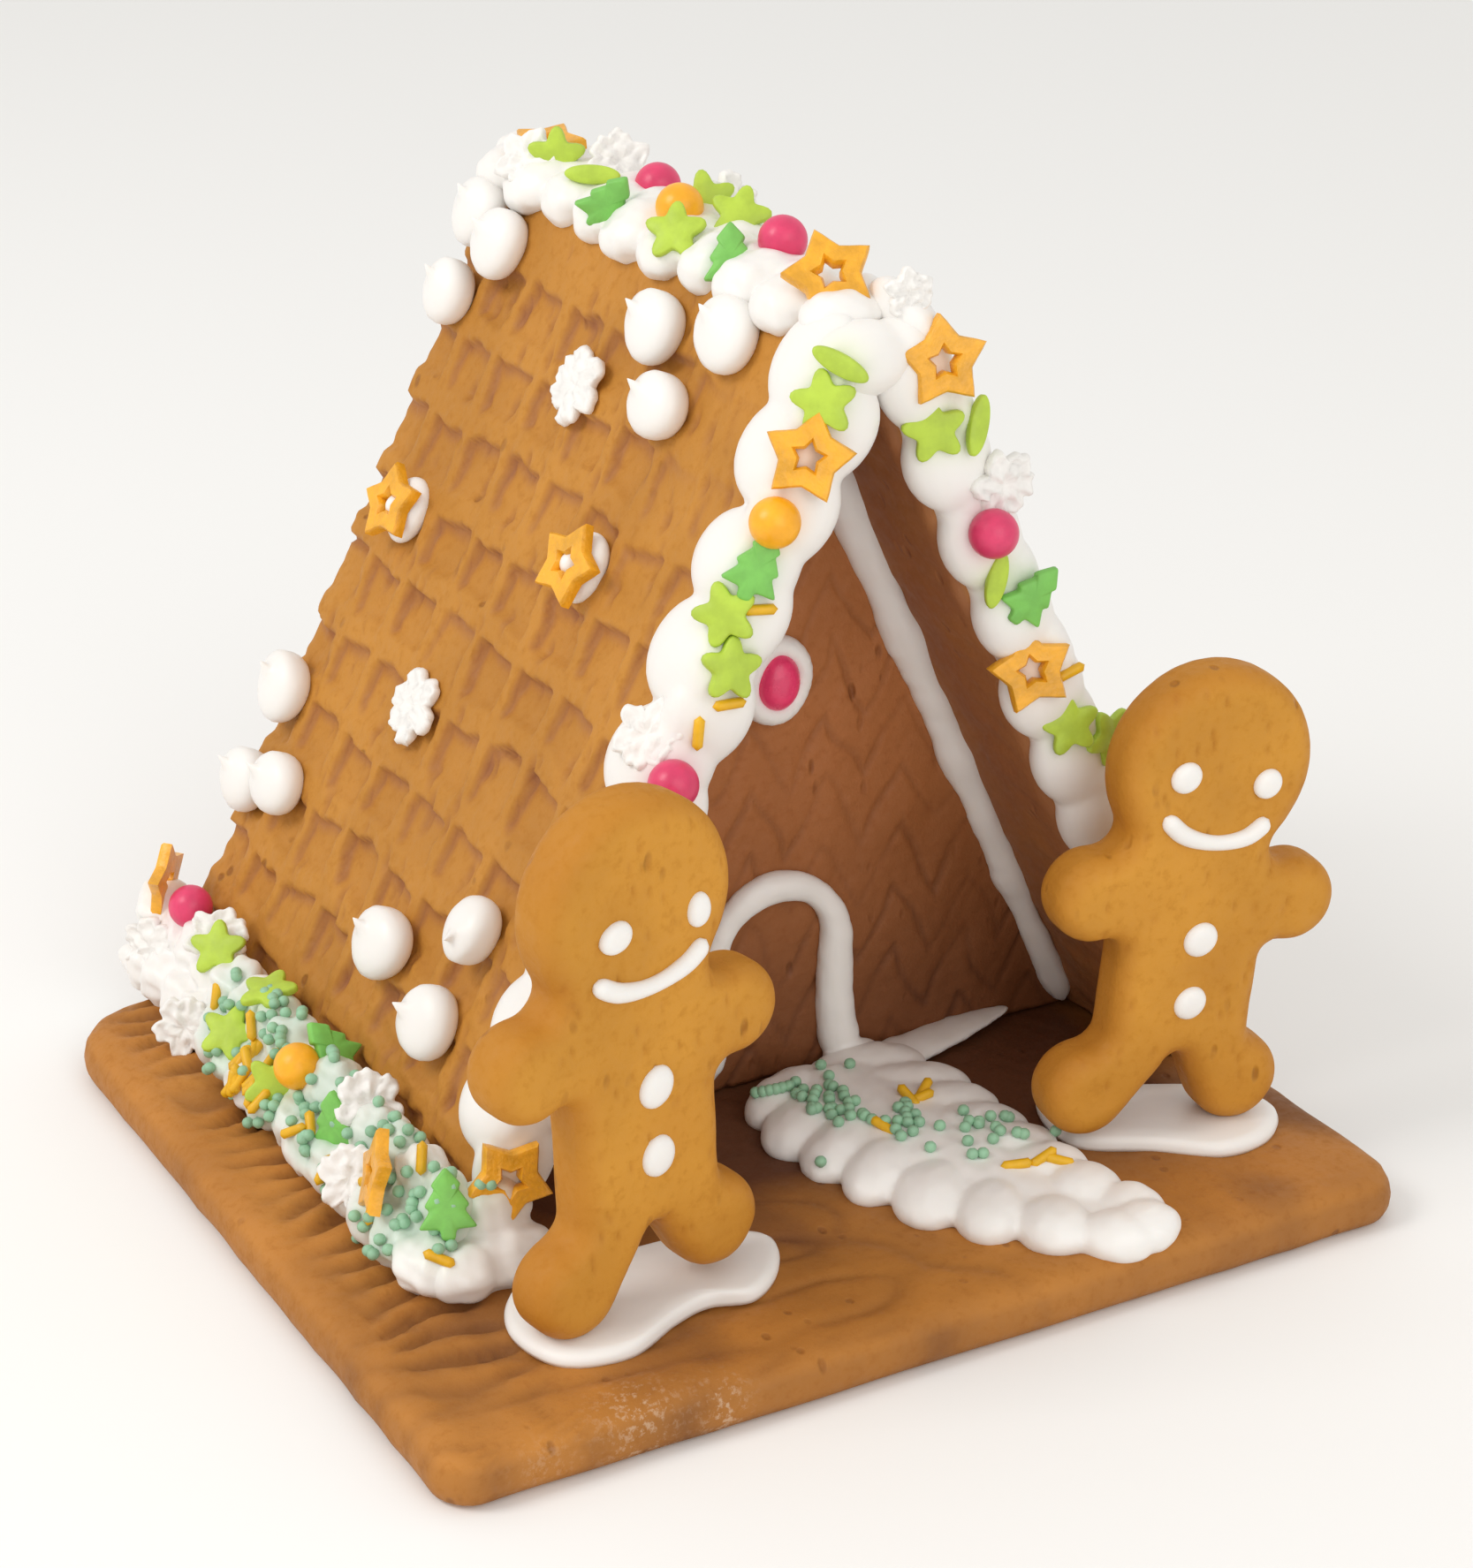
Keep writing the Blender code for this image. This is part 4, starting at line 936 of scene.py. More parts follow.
def make_feet(icing):
    """Where the roof meets the board: two heaped rows of eggs on the left with more at the back, one plain
    row on the right, and a corner of three eggs at the left foot's front."""
    rng = np.random.default_rng(7)
    shapes = []
    for y in np.arange(-5.0, 102.0, 7.4):
        size = rng.uniform(0.88, 1.14)
        shapes.append(egg(house(-69.6, y, 10.6), (ALONG, ACROSS, UP), (5.8 * size, 5.6 * size, 4.8)))
        shapes.append(egg(house(-66.0, y + 3.2, 15.6), (ALONG, ACROSS, UP), (5.4, 4.6, 6.4 * size)))
    for y, x, z in ((97.0, -66.5, 14.0), (100.5, -67.0, 18.5), (103.0, -64.0, 12.5)):
        shapes.append(egg(house(x, y, z), (ALONG, ACROSS, UP), (5.0, 5.0, 5.2)))
    melt("icing_foot_left", shapes, icing, ["foot_icing_left"], uneven=0.55)

    shapes = [egg(house(67.2, y, 10.4), (ALONG, ACROSS, UP), (5.6, 4.2, 4.4))
              for y in np.arange(14.0, 92.0, 7.6)]
    melt("icing_foot_right", shapes, icing, ["foot_icing_right"], uneven=0.3)

    shapes = [egg(house(-61.4, -6.6, 10.0), (ACROSS, ALONG, UP), (9.4, 5.8, 5.2)),
              egg(house(-60.6, -4.2, 15.0), (UP, ALONG, ACROSS), (6.6, 4.4, 6.2)),
              egg(house(-67.0, -8.6, 10.4), (ACROSS, ALONG, UP), (5.6, 4.6, 4.4))]
    melt("icing_corner", shapes, icing, ["corner_icing_left"], uneven=0.3)


def make_path(icing):
    """Petals fanned out on both sides of a curve, each an egg that swells outwards, over a low dome."""
    line = curve_through([(5.6, 19.5), (6.4, 5.0), (8.6, -11.0), (14.2, -27.0), (23.6, -41.5)], 200)
    ahead = unit(np.gradient(line, axis=0))
    shapes = []
    for index, share in enumerate(np.linspace(0.02, 0.93, 8)):
        k = int(share * 199)
        way = np.array([*ahead[k], 0.0])
        half = np.interp(share, [0.0, 0.15, 0.35, 0.6, 0.8, 1.0], [17.5, 20.2, 19.4, 17.0, 12.0, 7.0])
        for sign in (-1, 1):
            if sign * way[1] > 0:
                half *= 0.97
            across = np.array([-sign * way[1], sign * way[0], 0.0])
            point_out = unit(across + way * (0.34 if sign > 0 else 0.50))
            axes = np.array([point_out, np.cross((0, 0, 1.0), point_out), (0, 0, 1.0)])
            grow = 1.0 + 0.08 * math.sin(2.3 * index + sign)
            middle = house(line[k, 0], line[k, 1], BASE + 0.5) + point_out * half * 0.47
            shapes.append(egg(middle, axes, (half * 0.56, 5.6 * grow, 3.9 - 0.2 * share), 0.12, (18, 20)))
    run = line[6:190:4]
    wide = np.interp(np.linspace(0, 1, len(run)), [0, 0.3, 0.7, 1.0], [11.0, 12.5, 10.5, 4.5])
    dome = np.column_stack([house(run[:, 0], run[:, 1], BASE + 0.3)])
    shapes.append(bead_along(dome, wide * rounded_ends(len(run), 0.06), (0, 0, 1), 0.34, 20))
    shapes.append(egg(house(23.4, -41.4, BASE + 0.9), np.eye(3), (5.6, 4.6, 3.6)))
    melt("icing_path", shapes, icing, ["path_icing"], calm=7, uneven=0.12)


DOOR_TOP, DOOR_HALF = 30.0, 10.6


def make_door(icing):
    """Door arch: a round strip up, over and down the wall, with a flat trail along the wall's foot."""
    turn = np.radians(np.linspace(0, 180, 20))
    crown = np.stack([DOOR_HALF * np.cos(turn), DOOR_TOP + DOOR_HALF * np.sin(turn)], 1)
    flat = np.concatenate([[(12.4, 10.0), (11.4, 14.0), (10.7, 20.0)], crown, [(-10.7, 20.0), (-10.9, 10.0)]])
    flat = curve_through(flat, 90)
    path = house(flat[:, 0], WALL_FACE - 0.5, flat[:, 1])
    radius = 2.35 + 0.25 * np.sin(np.linspace(0, 14, 90)) + 1.0 * smooth(14, 2, np.arange(90))
    shapes = [bead_along(path, radius * rounded_ends(90, 0.03), (0, -1, 0), 0.85)]
    shapes.append(egg(house(13.0, 20.2, 9.6), np.eye(3), (5.2, 3.6, 2.8)))
    trail = curve_through([(12.0, 18.4), (21.0, 18.6), (32.0, 20.4), (43.0, 21.8)], 50)
    trail = house(trail[:, 0], trail[:, 1], BASE + np.linspace(0.4, 2.0, 50))
    wide = np.interp(np.linspace(0, 1, 50), [0.0, 0.35, 0.7, 1.0], [3.4, 4.3, 3.2, 1.2])
    shapes.append(bead_along(trail, wide * rounded_ends(50, 0.1), (0, 0, 1), 0.34, 20))
    melt("icing_door", shapes, icing, ["door_icing"], calm=3, uneven=0.1)


def make_seams(icing):
    """A bead up each corner between wall and roof, wavering and thicker towards the top."""
    for side, name in ((1, "left"), (-1, "right")):
        t = np.linspace(0, 1, 90)
        z = BASE + 0.5 + t * (INNER_RISE - 11.0)
        inner = INNER_HALF - (z - BOARD[2]) * math.tan(TILT) - 1.2
        path = house(-side * inner, WALL_FACE - 0.9, z)
        radius = 2.1 + 1.3 * t + 0.28 * np.sin(t * 31.0) + 0.18 * np.sin(t * 57.0 + 1.0)
        out = unit(np.array([side * 0.55, -0.83, -0.1]))
        strip = bead_along(path, radius * rounded_ends(90, 0.05), out, 0.75)
        melt("icing_seam_" + name, [strip], icing, ["seam_icing_" + name], calm=2, uneven=0.12)


def make_window(icing):
    """A ring of small eggs over a flat one, and the sugar button that is pressed into it."""
    across, up, parts = -1.3, 74.0, 26
    shapes = []
    for k in range(parts):
        a = 2 * math.pi * k / parts
        centre = house(across + 4.5 * math.cos(a), WALL_FACE - 0.4, up + 5.2 * math.sin(a))
        shapes.append(egg(centre, np.eye(3), (1.7, 2.1 + 0.3 * math.sin(3 * a), 1.8)))
    shapes.append(egg(house(across, WALL_FACE, up), np.eye(3), (5.0, 1.2, 5.6)))
    melt("icing_window", shapes, icing, ["window_icing"], grain=0.8)
    # The pink is raised by a quarter: painted light, brightening the button in the shade of the porch.
    pink = sugar("pink_button", np.minimum(tone("pink") * 1.25, 1.0), 0.28)
    centre = house(across, WALL_FACE - 1.5, up)
    points, faces = egg(centre, (UP, ACROSS, ALONG), (4.3, 3.4, 2.7), 0.0, (20, 32))
    make_piece("sugar_button", points, faces, pink, ["window_button"], "pink")


PUDDLES = {
    "left": ((-60.0, -12.5), (-66.8, -21.5), (-64.6, -32.0), (-55.4, -34.8), (-46.0, -30.6), (-40.0, -29.0),
             (-33.5, -30.4), (-27.0, -25.5), (-24.4, -18.0), (-33.0, -13.5), (-46.0, -12.5)),
    "right": ((31.5, -3.0), (28.3, -11.0), (29.6, -17.5), (37.9, -22.7), (46.7, -29.2), (55.7, -28.6),
              (61.6, -22.1), (58.0, -14.0), (46.0, -7.0), (38.0, -4.0)),
}


def make_puddle(name, icing):
    """Pool: a smooth closed line that rises like a quarter ellipse to a flat top."""
    line = curve_through(PUDDLES[name], 160, closed=True)
    middle = line.mean(0)
    rings = []
    rise = ((0.99, -0.2), (1.0, 0.5), (0.985, 1.2), (0.95, 1.75), (0.88, 2.1), (0.6, 2.2), (0.1, 2.2))
    for share, height in rise:
        flat = middle + (line - middle) * share
        rings.append(house(flat[:, 0], flat[:, 1], BOARD[2] + height))
    points, faces = capped(rings)
    make_piece("icing_puddle_" + name, points, faces, icing, ["puddle_" + name], "icing")


# Side of the roof: depth, distance up the slope and extra turn of the nib of each drop.
DROPS = {
    1: ((39.6, 127.4, 0), (22.1, 131.0, 10), (30.8, 117.8, -5), (98.8, 130.6, 30), (89.4, 127.6, 0),
        (98.2, 117.4, 20), (99.0, 49.7, 25), (99.0, 33.5, 0), (89.0, 36.6, -20), (42.6, 29.0, 0),
        (22.4, 40.1, 170), (23.2, 24.9, -30)),
    -1: ((39.6, 127.4, 0), (22.1, 131.0, 20), (42.6, 40.0, 60), (24.0, 52.0, 0)),
}


def make_drops(side, icing):
    """Kisses: rings about the panel's normal fill out like a flat dome, then draw in to a bent nib."""
    name = "left" if side > 0 else "right"
    axes = roof_axes(side)
    profile = np.array([(0.80, -0.7), (0.98, 0.0), (1.07, 0.9), (1.10, 1.9), (1.07, 2.9), (0.97, 3.8),
                        (0.78, 4.5), (0.52, 5.0), (0.33, 5.3), (0.22, 5.6), (0.15, 6.1), (0.08, 6.6),
                        (0.02, 7.0)])
    turn = np.linspace(0, 2 * math.pi, 36, endpoint=False)
    pile = Pile()
    for index, (y, slope, extra) in enumerate(DROPS[side]):
        size = 4.85 + 0.3 * math.sin(index * 2.3)
        a = math.radians(48 + extra)
        wobble = 1.0 + 0.035 * np.sin(2 * turn + index) + 0.02 * np.sin(3 * turn + 2.0 * index)
        reach, height = profile[:, :1] * size * wobble, profile[:, 1:]
        bend = 2.9 * np.clip((height - 2.6) / 4.4, 0, 1) ** 1.3
        local = np.stack([reach * np.cos(turn) + bend * math.cos(a),
                          reach * np.sin(turn) + bend * math.sin(a), height + 0 * turn], -1)
        pile.add(*capped(roof(side, y, slope, 0.15) + local @ axes))
    nodes = ["drop_%s_%d" % (name, k + 1) for k in range(len(DROPS[side]))]
    make_piece("icing_drops_" + name, *pile.all(), icing, nodes, "icing")


def make_dabs(icing):
    """The two dabs that hold the roof's stars: a flat egg with a small one on it."""
    shapes = []
    for y, slope in ((86.8, 84.7), (34.7, 92.4)):
        shapes.append(egg(roof(1, y, slope, 0.3), roof_axes(1)[[1, 0, 2]], (5.4, 4.6, 2.6), 0.05))
        shapes.append(egg(roof(1, y, slope, 2.2), roof_axes(1)[[1, 0, 2]], (2.0, 1.8, 2.2)))
    melt("icing_dabs", shapes, icing, ["star_dab_1", "star_dab_2"], grain=0.8)


# ---- sugar pieces ---------------------------------------------------------------------------------

def soft_corners(radius, waist, count=60):
    """Outline of a five-pointed star with its corners a little rounded."""
    corners = np.arange(10)
    turn = np.radians(90 + 36.0 * corners)
    reach = np.where(corners % 2 == 0, radius, radius * waist)
    line = resample(np.stack([reach * np.cos(turn), reach * np.sin(turn)], 1), count)
    return 0.86 * line + 0.07 * (np.roll(line, 2, 0) + np.roll(line, -2, 0))


def star_ring(radius, hole, thick, waist=0.60):
    """Star with a star-shaped hole: a bevelled section carried round both stars, its tips rounded."""
    count = 60
    section = ((0.0, -0.5), (0.0, 0.25), (0.10, 0.46), (0.30, 0.5), (0.60, 0.42), (0.86, 0.5), (1.0, 0.2),
               (1.0, -0.5))
    outer, inner = soft_corners(radius, waist, count), soft_corners(hole, 0.55, count)
    loops = []
    for share, height in section:
        flat = outer * (1 - share) + inner * share
        loops.append(np.column_stack([flat, np.full(count, height * thick)]))
    return np.concatenate(loops), all_quads(grid_faces(len(section), count, wrap_rows=True))


def tablet(outline, thick, crown=0.35):
    """Flat sugar shape: its outline, rounded over into a low crown."""
    rings = []
    for share, height in ((0.10, -0.5), (0.93, -0.5), (1.0, -0.3), (1.0, 0.25), (0.96, 0.42), (0.90, 0.5),
                          (0.45, 0.5 + crown), (0.08, 0.5 + crown * 1.2)):
        rings.append(np.column_stack([outline * share, np.full(len(outline), height * thick)]))
    return capped(rings)


def soft_star(radius):
    """Outline of a star with round points: radius times a five-fold swell."""
    turn = np.linspace(0, 2 * math.pi, 50, endpoint=False)
    wave = 0.5 + 0.5 * np.cos(5 * (turn - math.pi / 2))
    reach = radius * (0.60 + 0.40 * wave ** 1.1)
    return np.stack([reach * np.cos(turn), reach * np.sin(turn)], 1)


def fir():
    """Outline of a three-tier tree."""
    half = np.array([(0.0, 5.2), (2.2, 2.6), (1.5, 2.3), (3.2, -0.2), (2.3, -0.6), (4.1, -3.2), (1.1, -3.3),
                     (0.9, -4.8)])
    line = resample(np.concatenate([half, (half * np.array([-1, 1]))[::-1][:-1]]), 72)
    return 0.5 * line + 0.25 * (np.roll(line, 1, 0) + np.roll(line, -1, 0))


def flake(radius, seed):
    """Frilled sugar flake: six ragged lobes over a ring of dents, pitted and slightly dished."""
    turn = np.linspace(0, 2 * math.pi, 90, endpoint=False)
    frill = 0.02 * np.sin(19 * turn + seed) + 0.035 * np.sin(11 * turn + 2.3 * seed)
    frill = frill + 0.07 * np.sin(5 * turn + seed)
    reach = radius * (0.74 + 0.26 * np.abs(np.cos(3 * turn + 0.3 * seed)) ** 0.7 + frill)
    rings = []
    for share, height in ((0.10, -0.9), (0.90, -0.9), (1.0, -0.5), (1.02, 0.2), (0.95, 0.75), (0.84, 0.8),
                          (0.68, 0.45), (0.52, 0.75), (0.38, 0.95), (0.22, 0.6), (0.06, 0.35)):
        flat = np.stack([reach * share * np.cos(turn), reach * share * np.sin(turn)], 1)
        rough = 0.30 * ripple(flat, 2.1, 80 + seed) * (height > 0.1)
        rings.append(np.column_stack([flat, height + rough]))
    return capped(rings)


def ball(radius, steps=(18, 28)):
    """Sphere about the origin."""
    return egg(np.zeros(3), np.eye(3), (radius, radius, radius), 0.0, steps)


def node_middle(name):
    """Middle of a CAD node's box, in millimetres."""
    low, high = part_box(name)
    return (np.array(low) + np.array(high)) / 2 / MM


BALLS = {"pink": ["ball_ridge_1", "ball_ridge_3", "ball_edge_2", "ball_edge_3", "ball_foot_1"],
         "orange": ["ball_ridge_2", "ball_edge_1", "ball_foot_2"]}
# Gold star: the way that its face looks, and its spin.
GOLD_STARS = {"star_ridge": ((-0.40, -0.66, 0.64), 20), "star_edge_1": ((-0.5, -0.80, 0.30), -12),
              "star_edge_2": ((-0.25, -0.95, 0.2), 4), "star_edge_3": ((-0.3, -0.92, 0.2), 14),
              "star_foot_1": ((-0.75, 0.65, 0.1), 0), "star_foot_2": ((-0.93, 0.30, 0.25), 20),
              "star_corner": ((-0.2, -0.95, 0.2), 30)}
ROOF_STARS = (("star_roof_1", 14), ("star_roof_2", -10))
# Green, white and yellow sugar on the borders: kind, place, extra turn out of the surface, spin.
LEFT_EDGE = (("lime", 129.0, 1.8, 0, 8), ("sliver", 134.6, 1.9, 10, -28), ("fir", 105.8, 1.3, 10, -25),
             ("lime", 98.3, 2.8, 0, 20), ("lime", 91.5, -1.2, 0, -10), ("rod", 100.3, -2.0, 0, 0),
             ("rod", 86.9, -3.5, 0, 4), ("rod", 81.9, -0.8, 0, 85), ("flake", 79.6, 7.0, 0, 5))
RIGHT_EDGE = (("lime", 125.6, -5.2, 0, 12), ("sliver", 122.2, 0.6, 0, 74), ("flake", 112.4, 1.0, 35, 0),
              ("sliver", 99.8, -5.2, 0, 80), ("fir", 94.5, -1.2, 25, -40), ("rod", 79.1, -0.2, 0, 20),
              ("lime", 71.4, -3.3, 0, 10), ("lime", 66.2, 1.3, 25, 30))
RIDGE = (("lime", -4.7, 84.0, 139, 55, 0), ("flake", 5.5, 80.5, 139, 20, 0),
         ("sliver", -2.4, 76.3, 136, 25, 0), ("fir", -5.8, 64.8, 136, 50, -35),
         ("lime", 4.1, 53.6, 139, 45, 10), ("flake", 9.7, 53.4, 139, 40, 20),
         ("lime", 3.8, 43.4, 139, 30, -15), ("lime", -7.0, 42.7, 136, 0, 5), ("fir", -6.1, 28.5, 136, 0, 5),
         ("chip", 4.2, -2.5, 139, 40, 10), ("flake", -6.5, 90.0, 136, 20, 0))
FOOT_EDGE = (("flake", 81.5, 16.6, 10, 0), ("flake", 96.8, 3.8, 15, 30), ("flake", 76.8, -1.1, 10, 10),
             ("flake", 22.1, 11.5, 10, 25), ("flake", 18.1, 2.2, 15, 0), ("lime", 77.6, 11.5, 0, 5),
             ("lime", 61.5, 14.8, 0, 20), ("lime", 63.9, 3.3, 10, -15), ("fir", 37.7, 12.6, 15, 25),
             ("fir", 27.1, 6.2, 0, 8), ("fir", -5.8, 9.5, 0, 0), ("rod", -9.2, 3.2, 0, 155),
             ("lime", 47.0, 3.0, 25, 40))
# Loose rods: on the left foot by depth and slope; on the path by place and spin.
FOOT_RODS = ((36, 1.0), (33, 3.0), (40, 14.0), (10, 1.5), (13, 4.0), (4, 12.0), (25, 0.0), (72, 6.0))
PATH_RODS = ((4.0, -3.1, 150), (13.4, 1.8, 20), (15.0, 3.5, 60), (14.8, -21.7, 8), (19.5, -21.5, 35),
             (20.9, -23.5, -20), (12.0, 3.0, 120))
STRAY_BEADS = [(5.7, -13.0), (9.9, -17.6), (11.4, -18.2), (19.8, -16.0), (-10.5, -9.5)]


def shape_of(kind, seed):
    """The sugar shape of one kind, lying flat about its own middle."""
    green = sizes().green_radius / MM
    if kind == "lime":
        return tablet(soft_star(green), 1.3, 0.08)
    if kind == "sliver":
        around = np.linspace(0.0, 2.0 * math.pi, 40, endpoint=False)
        return tablet(np.stack([4.2 * np.cos(around), 1.45 * np.sin(around)], 1), 1.3, 0.08)
    if kind == "fir":
        return tablet(fir(), 1.4, 0.10)
    if kind in ("flake", "chip"):
        return flake(5.0 if kind == "flake" else 3.4, seed)
    path = np.stack([np.linspace(-2.4, 2.4, 9), np.zeros(9), np.zeros(9)], 1)
    return bead_along(path, 0.75 * rounded_ends(9, 0.12), (0, 0, 1), 1.0, 10)


def press_on(piles, trees, kind, point, tip, spin, seed):
    """Lays one sugar shape where the line meets the icing, turned tip degrees out of the surface."""
    place, normal = touch(trees, point)
    normal = unit(normal + 0.9 * unit(FACING))
    if tip:
        side = unit(np.cross(UP, normal))
        normal = np.array(Matrix.Rotation(math.radians(tip), 3, Vector(side)) @ Vector(normal))
    points, faces = shape_of(kind, seed)
    lift = {"rod": 0.35, "flake": -0.1, "chip": -0.6}.get(kind, 0.65) + 1.6 * math.sin(math.radians(tip))
    key = {"sliver": "lime", "chip": "flake"}.get(kind, kind)
    piles[key].add(stand(points, place + normal * lift, normal, spin), faces)
    return key, place


def press_balls(trees, stains):
    """Sugar balls, each sunk into the icing at its own CAD node."""
    radius = sizes().ball_radius / MM
    for key, nodes in BALLS.items():
        pile = Pile()
        for node in nodes:
            place, _ = touch(trees, node_middle(node))
            points, faces = ball(radius)
            pile.add(points + (place + FACING * radius * 0.45), faces)
            stains.append((place, tone(key), 0.55))
        make_piece("sugar_balls_" + key, *pile.all(), sugar(key + "_sugar", tone(key), 0.36), nodes, key)


def press_gold_stars(trees, stains):
    """Gold stars on the icing, two on the roof's dabs, and one that lies flat on the ridge's back end."""
    pile = Pile()
    star = star_ring(sizes().star_radius / MM, 2.1, 1.9)
    for node, (normal, spin) in GOLD_STARS.items():
        on_ridge = node == "star_ridge"
        middle = node_middle(node)
        place, _ = touch(trees, middle + np.array([-0.7, 0.9, -4.2]) * on_ridge)
        normal = unit(np.array(normal))
        centre = middle if "foot" in node else place + normal * (3.0 if on_ridge else 1.1)
        pile.add(stand(star[0] * (1.03 if on_ridge else 1.0), centre, normal, spin), star[1])
        stains.append((centre, tone("gold"), 0.28))
    off = roof_axes(1)[2]
    for node, spin in ROOF_STARS:
        pile.add(stand(star[0], node_middle(node), unit(off + 0.15 * FACING), spin), star[1])
    place, _ = touch(trees, house(-4.7, 88.5, 139))
    pile.add(stand(star[0], place + 0.9 * UP, unit(np.array([-0.15, -0.1, 0.98])), 0), star[1])
    nodes = [*GOLD_STARS, *(node for node, _ in ROOF_STARS)]
    skin = sugar("gold_sugar", tone("gold"), 0.36, glitter=1.0, mottle=0.16)
    make_piece("sugar_stars_gold", *pile.all(), skin, nodes, "gold", sharp=40)


def press_small_sugar(trees, path_trees, rng, stains):
    """Green stars, trees, white flakes and mustard rods, one piece of each kind."""
    piles = {"lime": Pile(), "fir": Pile(), "flake": Pile(), "rod": Pile()}
    laid = [(kind, roof(1, -5.0, slope, out), tip, spin) for kind, slope, out, tip, spin in LEFT_EDGE]
    laid += [(kind, roof(-1, -5.0, slope, out), tip, spin) for kind, slope, out, tip, spin in RIGHT_EDGE]
    laid += [(kind, house(x, y, z), tip, spin) for kind, x, y, z, tip, spin in RIDGE]
    laid += [(kind, roof(1, y, slope, 7.0), tip, spin) for kind, y, slope, tip, spin in FOOT_EDGE]
    for y, slope in zip(rng.normal(54, 5.0, 20), rng.normal(3.5, 3.0, 20)):
        laid.append(("rod", roof(1, y, slope, 7.0), 0, rng.uniform(55, 115)))
    for y, slope in FOOT_RODS:
        laid.append(("rod", roof(1, y, slope, 7.0), 0, rng.uniform(30, 130)))
    for seed, (kind, point, tip, spin) in enumerate(laid):
        key, place = press_on(piles, trees, kind, point, tip, spin, seed)
        if key in ("lime", "fir"):
            stains.append((place, tone("lime" if key == "lime" else "tree"), 0.30))
    for index, (y, slope) in enumerate(((54.9, 114.6), (62.4, 60.3))):
        points, faces = flake(5.9, 3 + index)
        piles["flake"].add(stand(points, roof(1, y, slope, 0.7), roof_axes(1)[2], 12 * index), faces)
    for x, y, spin in PATH_RODS:
        press_on(piles, path_trees, "rod", house(x, y, 11.5), 0, spin, 0)
    for key, shade, roughness in (("lime", "lime", 0.5), ("fir", "tree", 0.5)):
        skin = sugar(shade + "_sugar", tone(shade), roughness)
        make_piece("sugar_" + key, *piles[key].all(), skin, slot="gold")
    white = sugar("white_sugar", tone("icing"), 0.55, mottle=0.03)
    make_piece("sugar_flakes", *piles["flake"].all(), white, ["snowflake_1", "snowflake_2"], "icing")
    make_piece("sugar_rod", *piles["rod"].all(), sugar("rod_sugar", tone("rod"), 0.45), slot="gold")


def scatter_beads(trees, path_trees, rng, stains):
    """Smallest beads: clusters down the left foot, and a winding drift, a row and strays on the path."""
    small = sizes().bead_radius / MM
    points, faces = ball(small, (7, 9))
    pile = Pile()
    groups, count = 13, 130
    middles = rng.choice(groups, count)
    along = np.linspace(-11, 70, groups)[middles] + rng.normal(0, 2.6, count)
    up_slope = np.clip(rng.normal(6, 4.6, count) + 3.0 * np.sin(middles * 2.1), -5, 15)
    for y, slope in zip(along, up_slope):
        place, normal = touch(trees, roof(1, y, slope, 7.0))
        pile.add(points + place + normal * small * 0.6, faces)
        stains.append((place, np.array([0.42, 0.60, 0.46]), 0.16))
    share, stops = rng.uniform(0, 1, 60), [0, 0.3, 0.75, 1.0]
    drift = np.stack([np.interp(share, stops, [5.0, -1.0, 9.0, 20.0]) + rng.normal(0, 3.4, 60),
                      np.interp(share, stops, [13.5, 5.0, -6.0, -12.0]) + rng.normal(0, 2.2, 60)], 1)
    row = np.stack([np.linspace(-8.2, -3.0, 6), np.full(6, 12.6)], 1)
    for x, y in np.concatenate([drift, row, STRAY_BEADS]):
        place, normal = touch(path_trees, house(x, y, 12.0))
        pile.add(points + place + normal * small * 0.7, faces)
    make_piece("sugar_beads", *pile.all(), sugar("bead_sugar", tone("bead"), 0.5), slot="gold")


def make_toppings():
    """Balls and gold stars in their places, then the smaller sugar, which colours the icing near it."""
    trees = skin_of("icing_edge_left", "icing_edge_right", "icing_ridge", "icing_gable", "icing_foot_left",
                    "icing_corner")
    path_trees = skin_of("icing_path")
    stains = []
    press_balls(trees, stains)
    press_gold_stars(trees, stains)
    rng = np.random.default_rng(19)
    press_small_sugar(trees, path_trees, rng, stains)
    scatter_beads(trees, path_trees, rng, stains)
    stain_icing(stains)


# ---- stage ----------------------------------------------------------------------------------------

def add_light(name, place, aim, size, power, tint):
    """Square area light at place that looks at aim."""
    light = bpy.data.lights.new(name, "AREA")
    light.size, light.energy, light.color = size, power, tint
    made = bpy.data.objects.new(name, light)
    made.location = place
    made.rotation_euler = (Vector(aim) - Vector(place)).to_track_quat("-Z", "Y").to_euler()
    bpy.context.scene.collection.objects.link(made)


def make_floor():
    """Large, plain, pale floor."""
    mesh = bpy.data.meshes.new("floor")
    mesh.from_pydata([(-6, -6, 0), (6, -6, 0), (6, 6, 0), (-6, 6, 0)], [], [(0, 1, 2, 3)])
    floor = bpy.data.objects.new("floor", mesh)
    paint = Recipe("floor_paint", 0.9, 0.1)
    paint.set(paint.shader, "Base Color", (0.90, 0.90, 0.89))
    mesh.materials.append(paint.material)
    bpy.context.scene.collection.objects.link(floor)


def make_camera():
    """Camera above the left front corner, given by its right and up directions."""
    camera = bpy.data.cameras.new("camera")
    camera.lens, camera.sensor_width = 78.5, 36.0
    camera.clip_start, camera.clip_end = 0.01, 30.0
    made = bpy.data.objects.new("camera", camera)
    right = Vector((0.86644, -0.49895, 0.01813))
    up = Vector((0.18615, 0.35652, 0.91555))
    turned = Matrix((right, up, right.cross(up))).transposed().to_4x4()
    made.matrix_world = Matrix.Translation((-0.22869, -0.39549, 0.25879)) @ turned
    bpy.context.scene.collection.objects.link(made)
    bpy.context.scene.camera = made


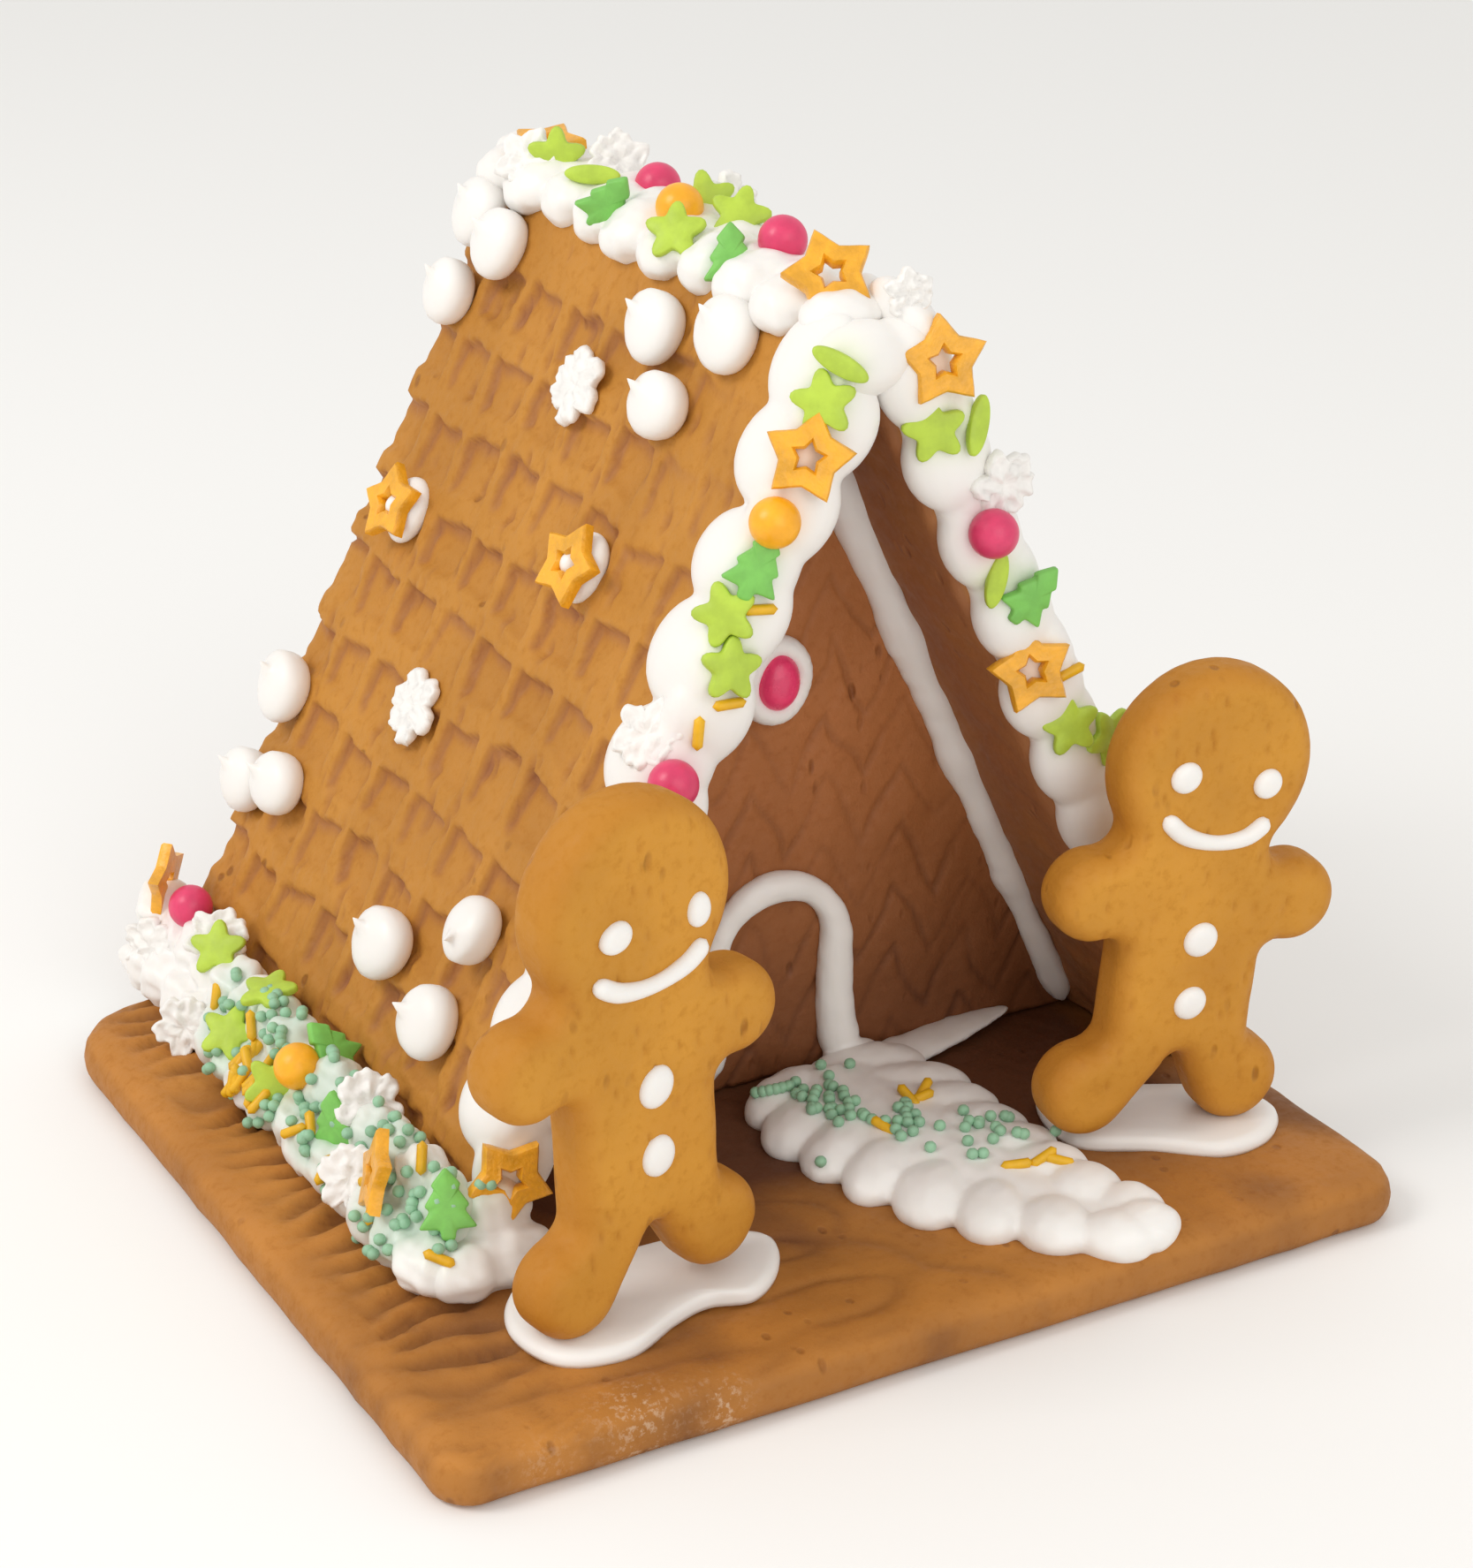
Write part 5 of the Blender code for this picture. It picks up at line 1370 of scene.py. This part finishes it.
def make_stage():
    """Floor, a soft pale world, a key light from the upper left, a broad fill in front, and the camera."""
    scene = bpy.context.scene
    scene.view_settings.view_transform = "Standard"
    make_floor()
    world = bpy.data.worlds.new("studio")
    scene.world = world
    world.use_nodes = True
    back = world.node_tree.nodes["Background"]
    back.inputs["Color"].default_value = (1.0, 0.985, 0.96, 1.0)
    back.inputs["Strength"].default_value = 0.82
    add_light("key", (-0.78, 0.12, 0.80), (0.0, 0.0, 0.06), 0.42, 4.0, (1.0, 0.98, 0.96))
    add_light("fill", (-0.10, -1.05, 0.55), (0.0, 0.0, 0.05), 0.9, 3.3, (1.0, 0.985, 0.97))
    make_camera()


# ---- operators ------------------------------------------------------------------------------------

def icing_material():
    """The one icing that all piped pieces share."""
    return bpy.data.materials.get("royal_icing") or royal_icing("royal_icing", tone("icing"))


class BoardOperator(bpy.types.Operator):
    """Adds the biscuit board"""
    bl_idname = "gingerbread.board"
    bl_label = "Board"

    def execute(self, context):
        make_board()
        return {"FINISHED"}


class RoofOperator(bpy.types.Operator):
    """Adds both roof panels"""
    bl_idname = "gingerbread.roof"
    bl_label = "Roof"

    def execute(self, context):
        make_roof(1)
        make_roof(-1)
        return {"FINISHED"}


class WallsOperator(bpy.types.Operator):
    """Adds both gable walls"""
    bl_idname = "gingerbread.walls"
    bl_label = "Walls"

    def execute(self, context):
        make_wall("gable_front", "wall_front", FRONT_WALL, True)
        make_wall("gable_back", "wall_back", BACK_WALL, False)
        return {"FINISHED"}


class MenOperator(bpy.types.Operator):
    """Adds both biscuit men with their icing faces and buttons"""
    bl_idname = "gingerbread.men"
    bl_label = "Men"

    def execute(self, context):
        for name in MEN:
            make_man(name)
            make_face(name, icing_material())
        return {"FINISHED"}


class BordersOperator(bpy.types.Operator):
    """Pipes the borders of the house"""
    bl_idname = "gingerbread.borders"
    bl_label = "Borders"

    def execute(self, context):
        for make in (make_edges, make_ridge, make_gable, make_feet):
            make(icing_material())
        return {"FINISHED"}


class PipingOperator(bpy.types.Operator):
    """Pipes the path, the pools, the door, the corners and the window ring"""
    bl_idname = "gingerbread.piping"
    bl_label = "Path, door and pools"

    def execute(self, context):
        icing = icing_material()
        make_path(icing)
        make_door(icing)
        make_seams(icing)
        make_window(icing)
        for name in PUDDLES:
            make_puddle(name, icing)
        return {"FINISHED"}


class DropsOperator(bpy.types.Operator):
    """Pipes the drops and dabs on the roof"""
    bl_idname = "gingerbread.drops"
    bl_label = "Roof drops"

    def execute(self, context):
        icing = icing_material()
        make_drops(1, icing)
        make_drops(-1, icing)
        make_dabs(icing)
        return {"FINISHED"}


class ToppingsOperator(bpy.types.Operator):
    """Presses the sugar pieces on the icing"""
    bl_idname = "gingerbread.toppings"
    bl_label = "Sugar toppings"

    def execute(self, context):
        make_toppings()
        return {"FINISHED"}


class StageOperator(bpy.types.Operator):
    """Adds the floor, the lights and the camera"""
    bl_idname = "gingerbread.stage"
    bl_label = "Stage"

    def execute(self, context):
        make_stage()
        return {"FINISHED"}


STEPS = (BoardOperator, RoofOperator, WallsOperator, MenOperator, BordersOperator, PipingOperator,
         DropsOperator, ToppingsOperator, StageOperator)


class GingerbreadPanel(bpy.types.Panel):
    """Buttons for the pieces, then the settings"""
    bl_idname = "VIEW3D_PT_gingerbread"
    bl_label = "Gingerbread house"
    bl_space_type = "VIEW_3D"
    bl_region_type = "UI"
    bl_category = "Gingerbread"

    def draw(self, context):
        for step in STEPS:
            self.layout.operator(step.bl_idname)
        for group in (context.scene.house_sizes, context.scene.house_colours):
            for key in group.__annotations__:
                self.layout.prop(group, key)


CLASSES = (HouseSizes, HouseColours, *STEPS, GingerbreadPanel)


def register():
    for kind in CLASSES:
        bpy.utils.register_class(kind)
    bpy.types.Scene.house_sizes = bpy.props.PointerProperty(type=HouseSizes)
    bpy.types.Scene.house_colours = bpy.props.PointerProperty(type=HouseColours)


def unregister():
    del bpy.types.Scene.house_colours
    del bpy.types.Scene.house_sizes
    for kind in reversed(CLASSES):
        bpy.utils.unregister_class(kind)


def main():
    register()
    for step in STEPS:
        group, name = step.bl_idname.split(".")
        getattr(getattr(bpy.ops, group), name)()


if __name__ == "__main__":
    main()
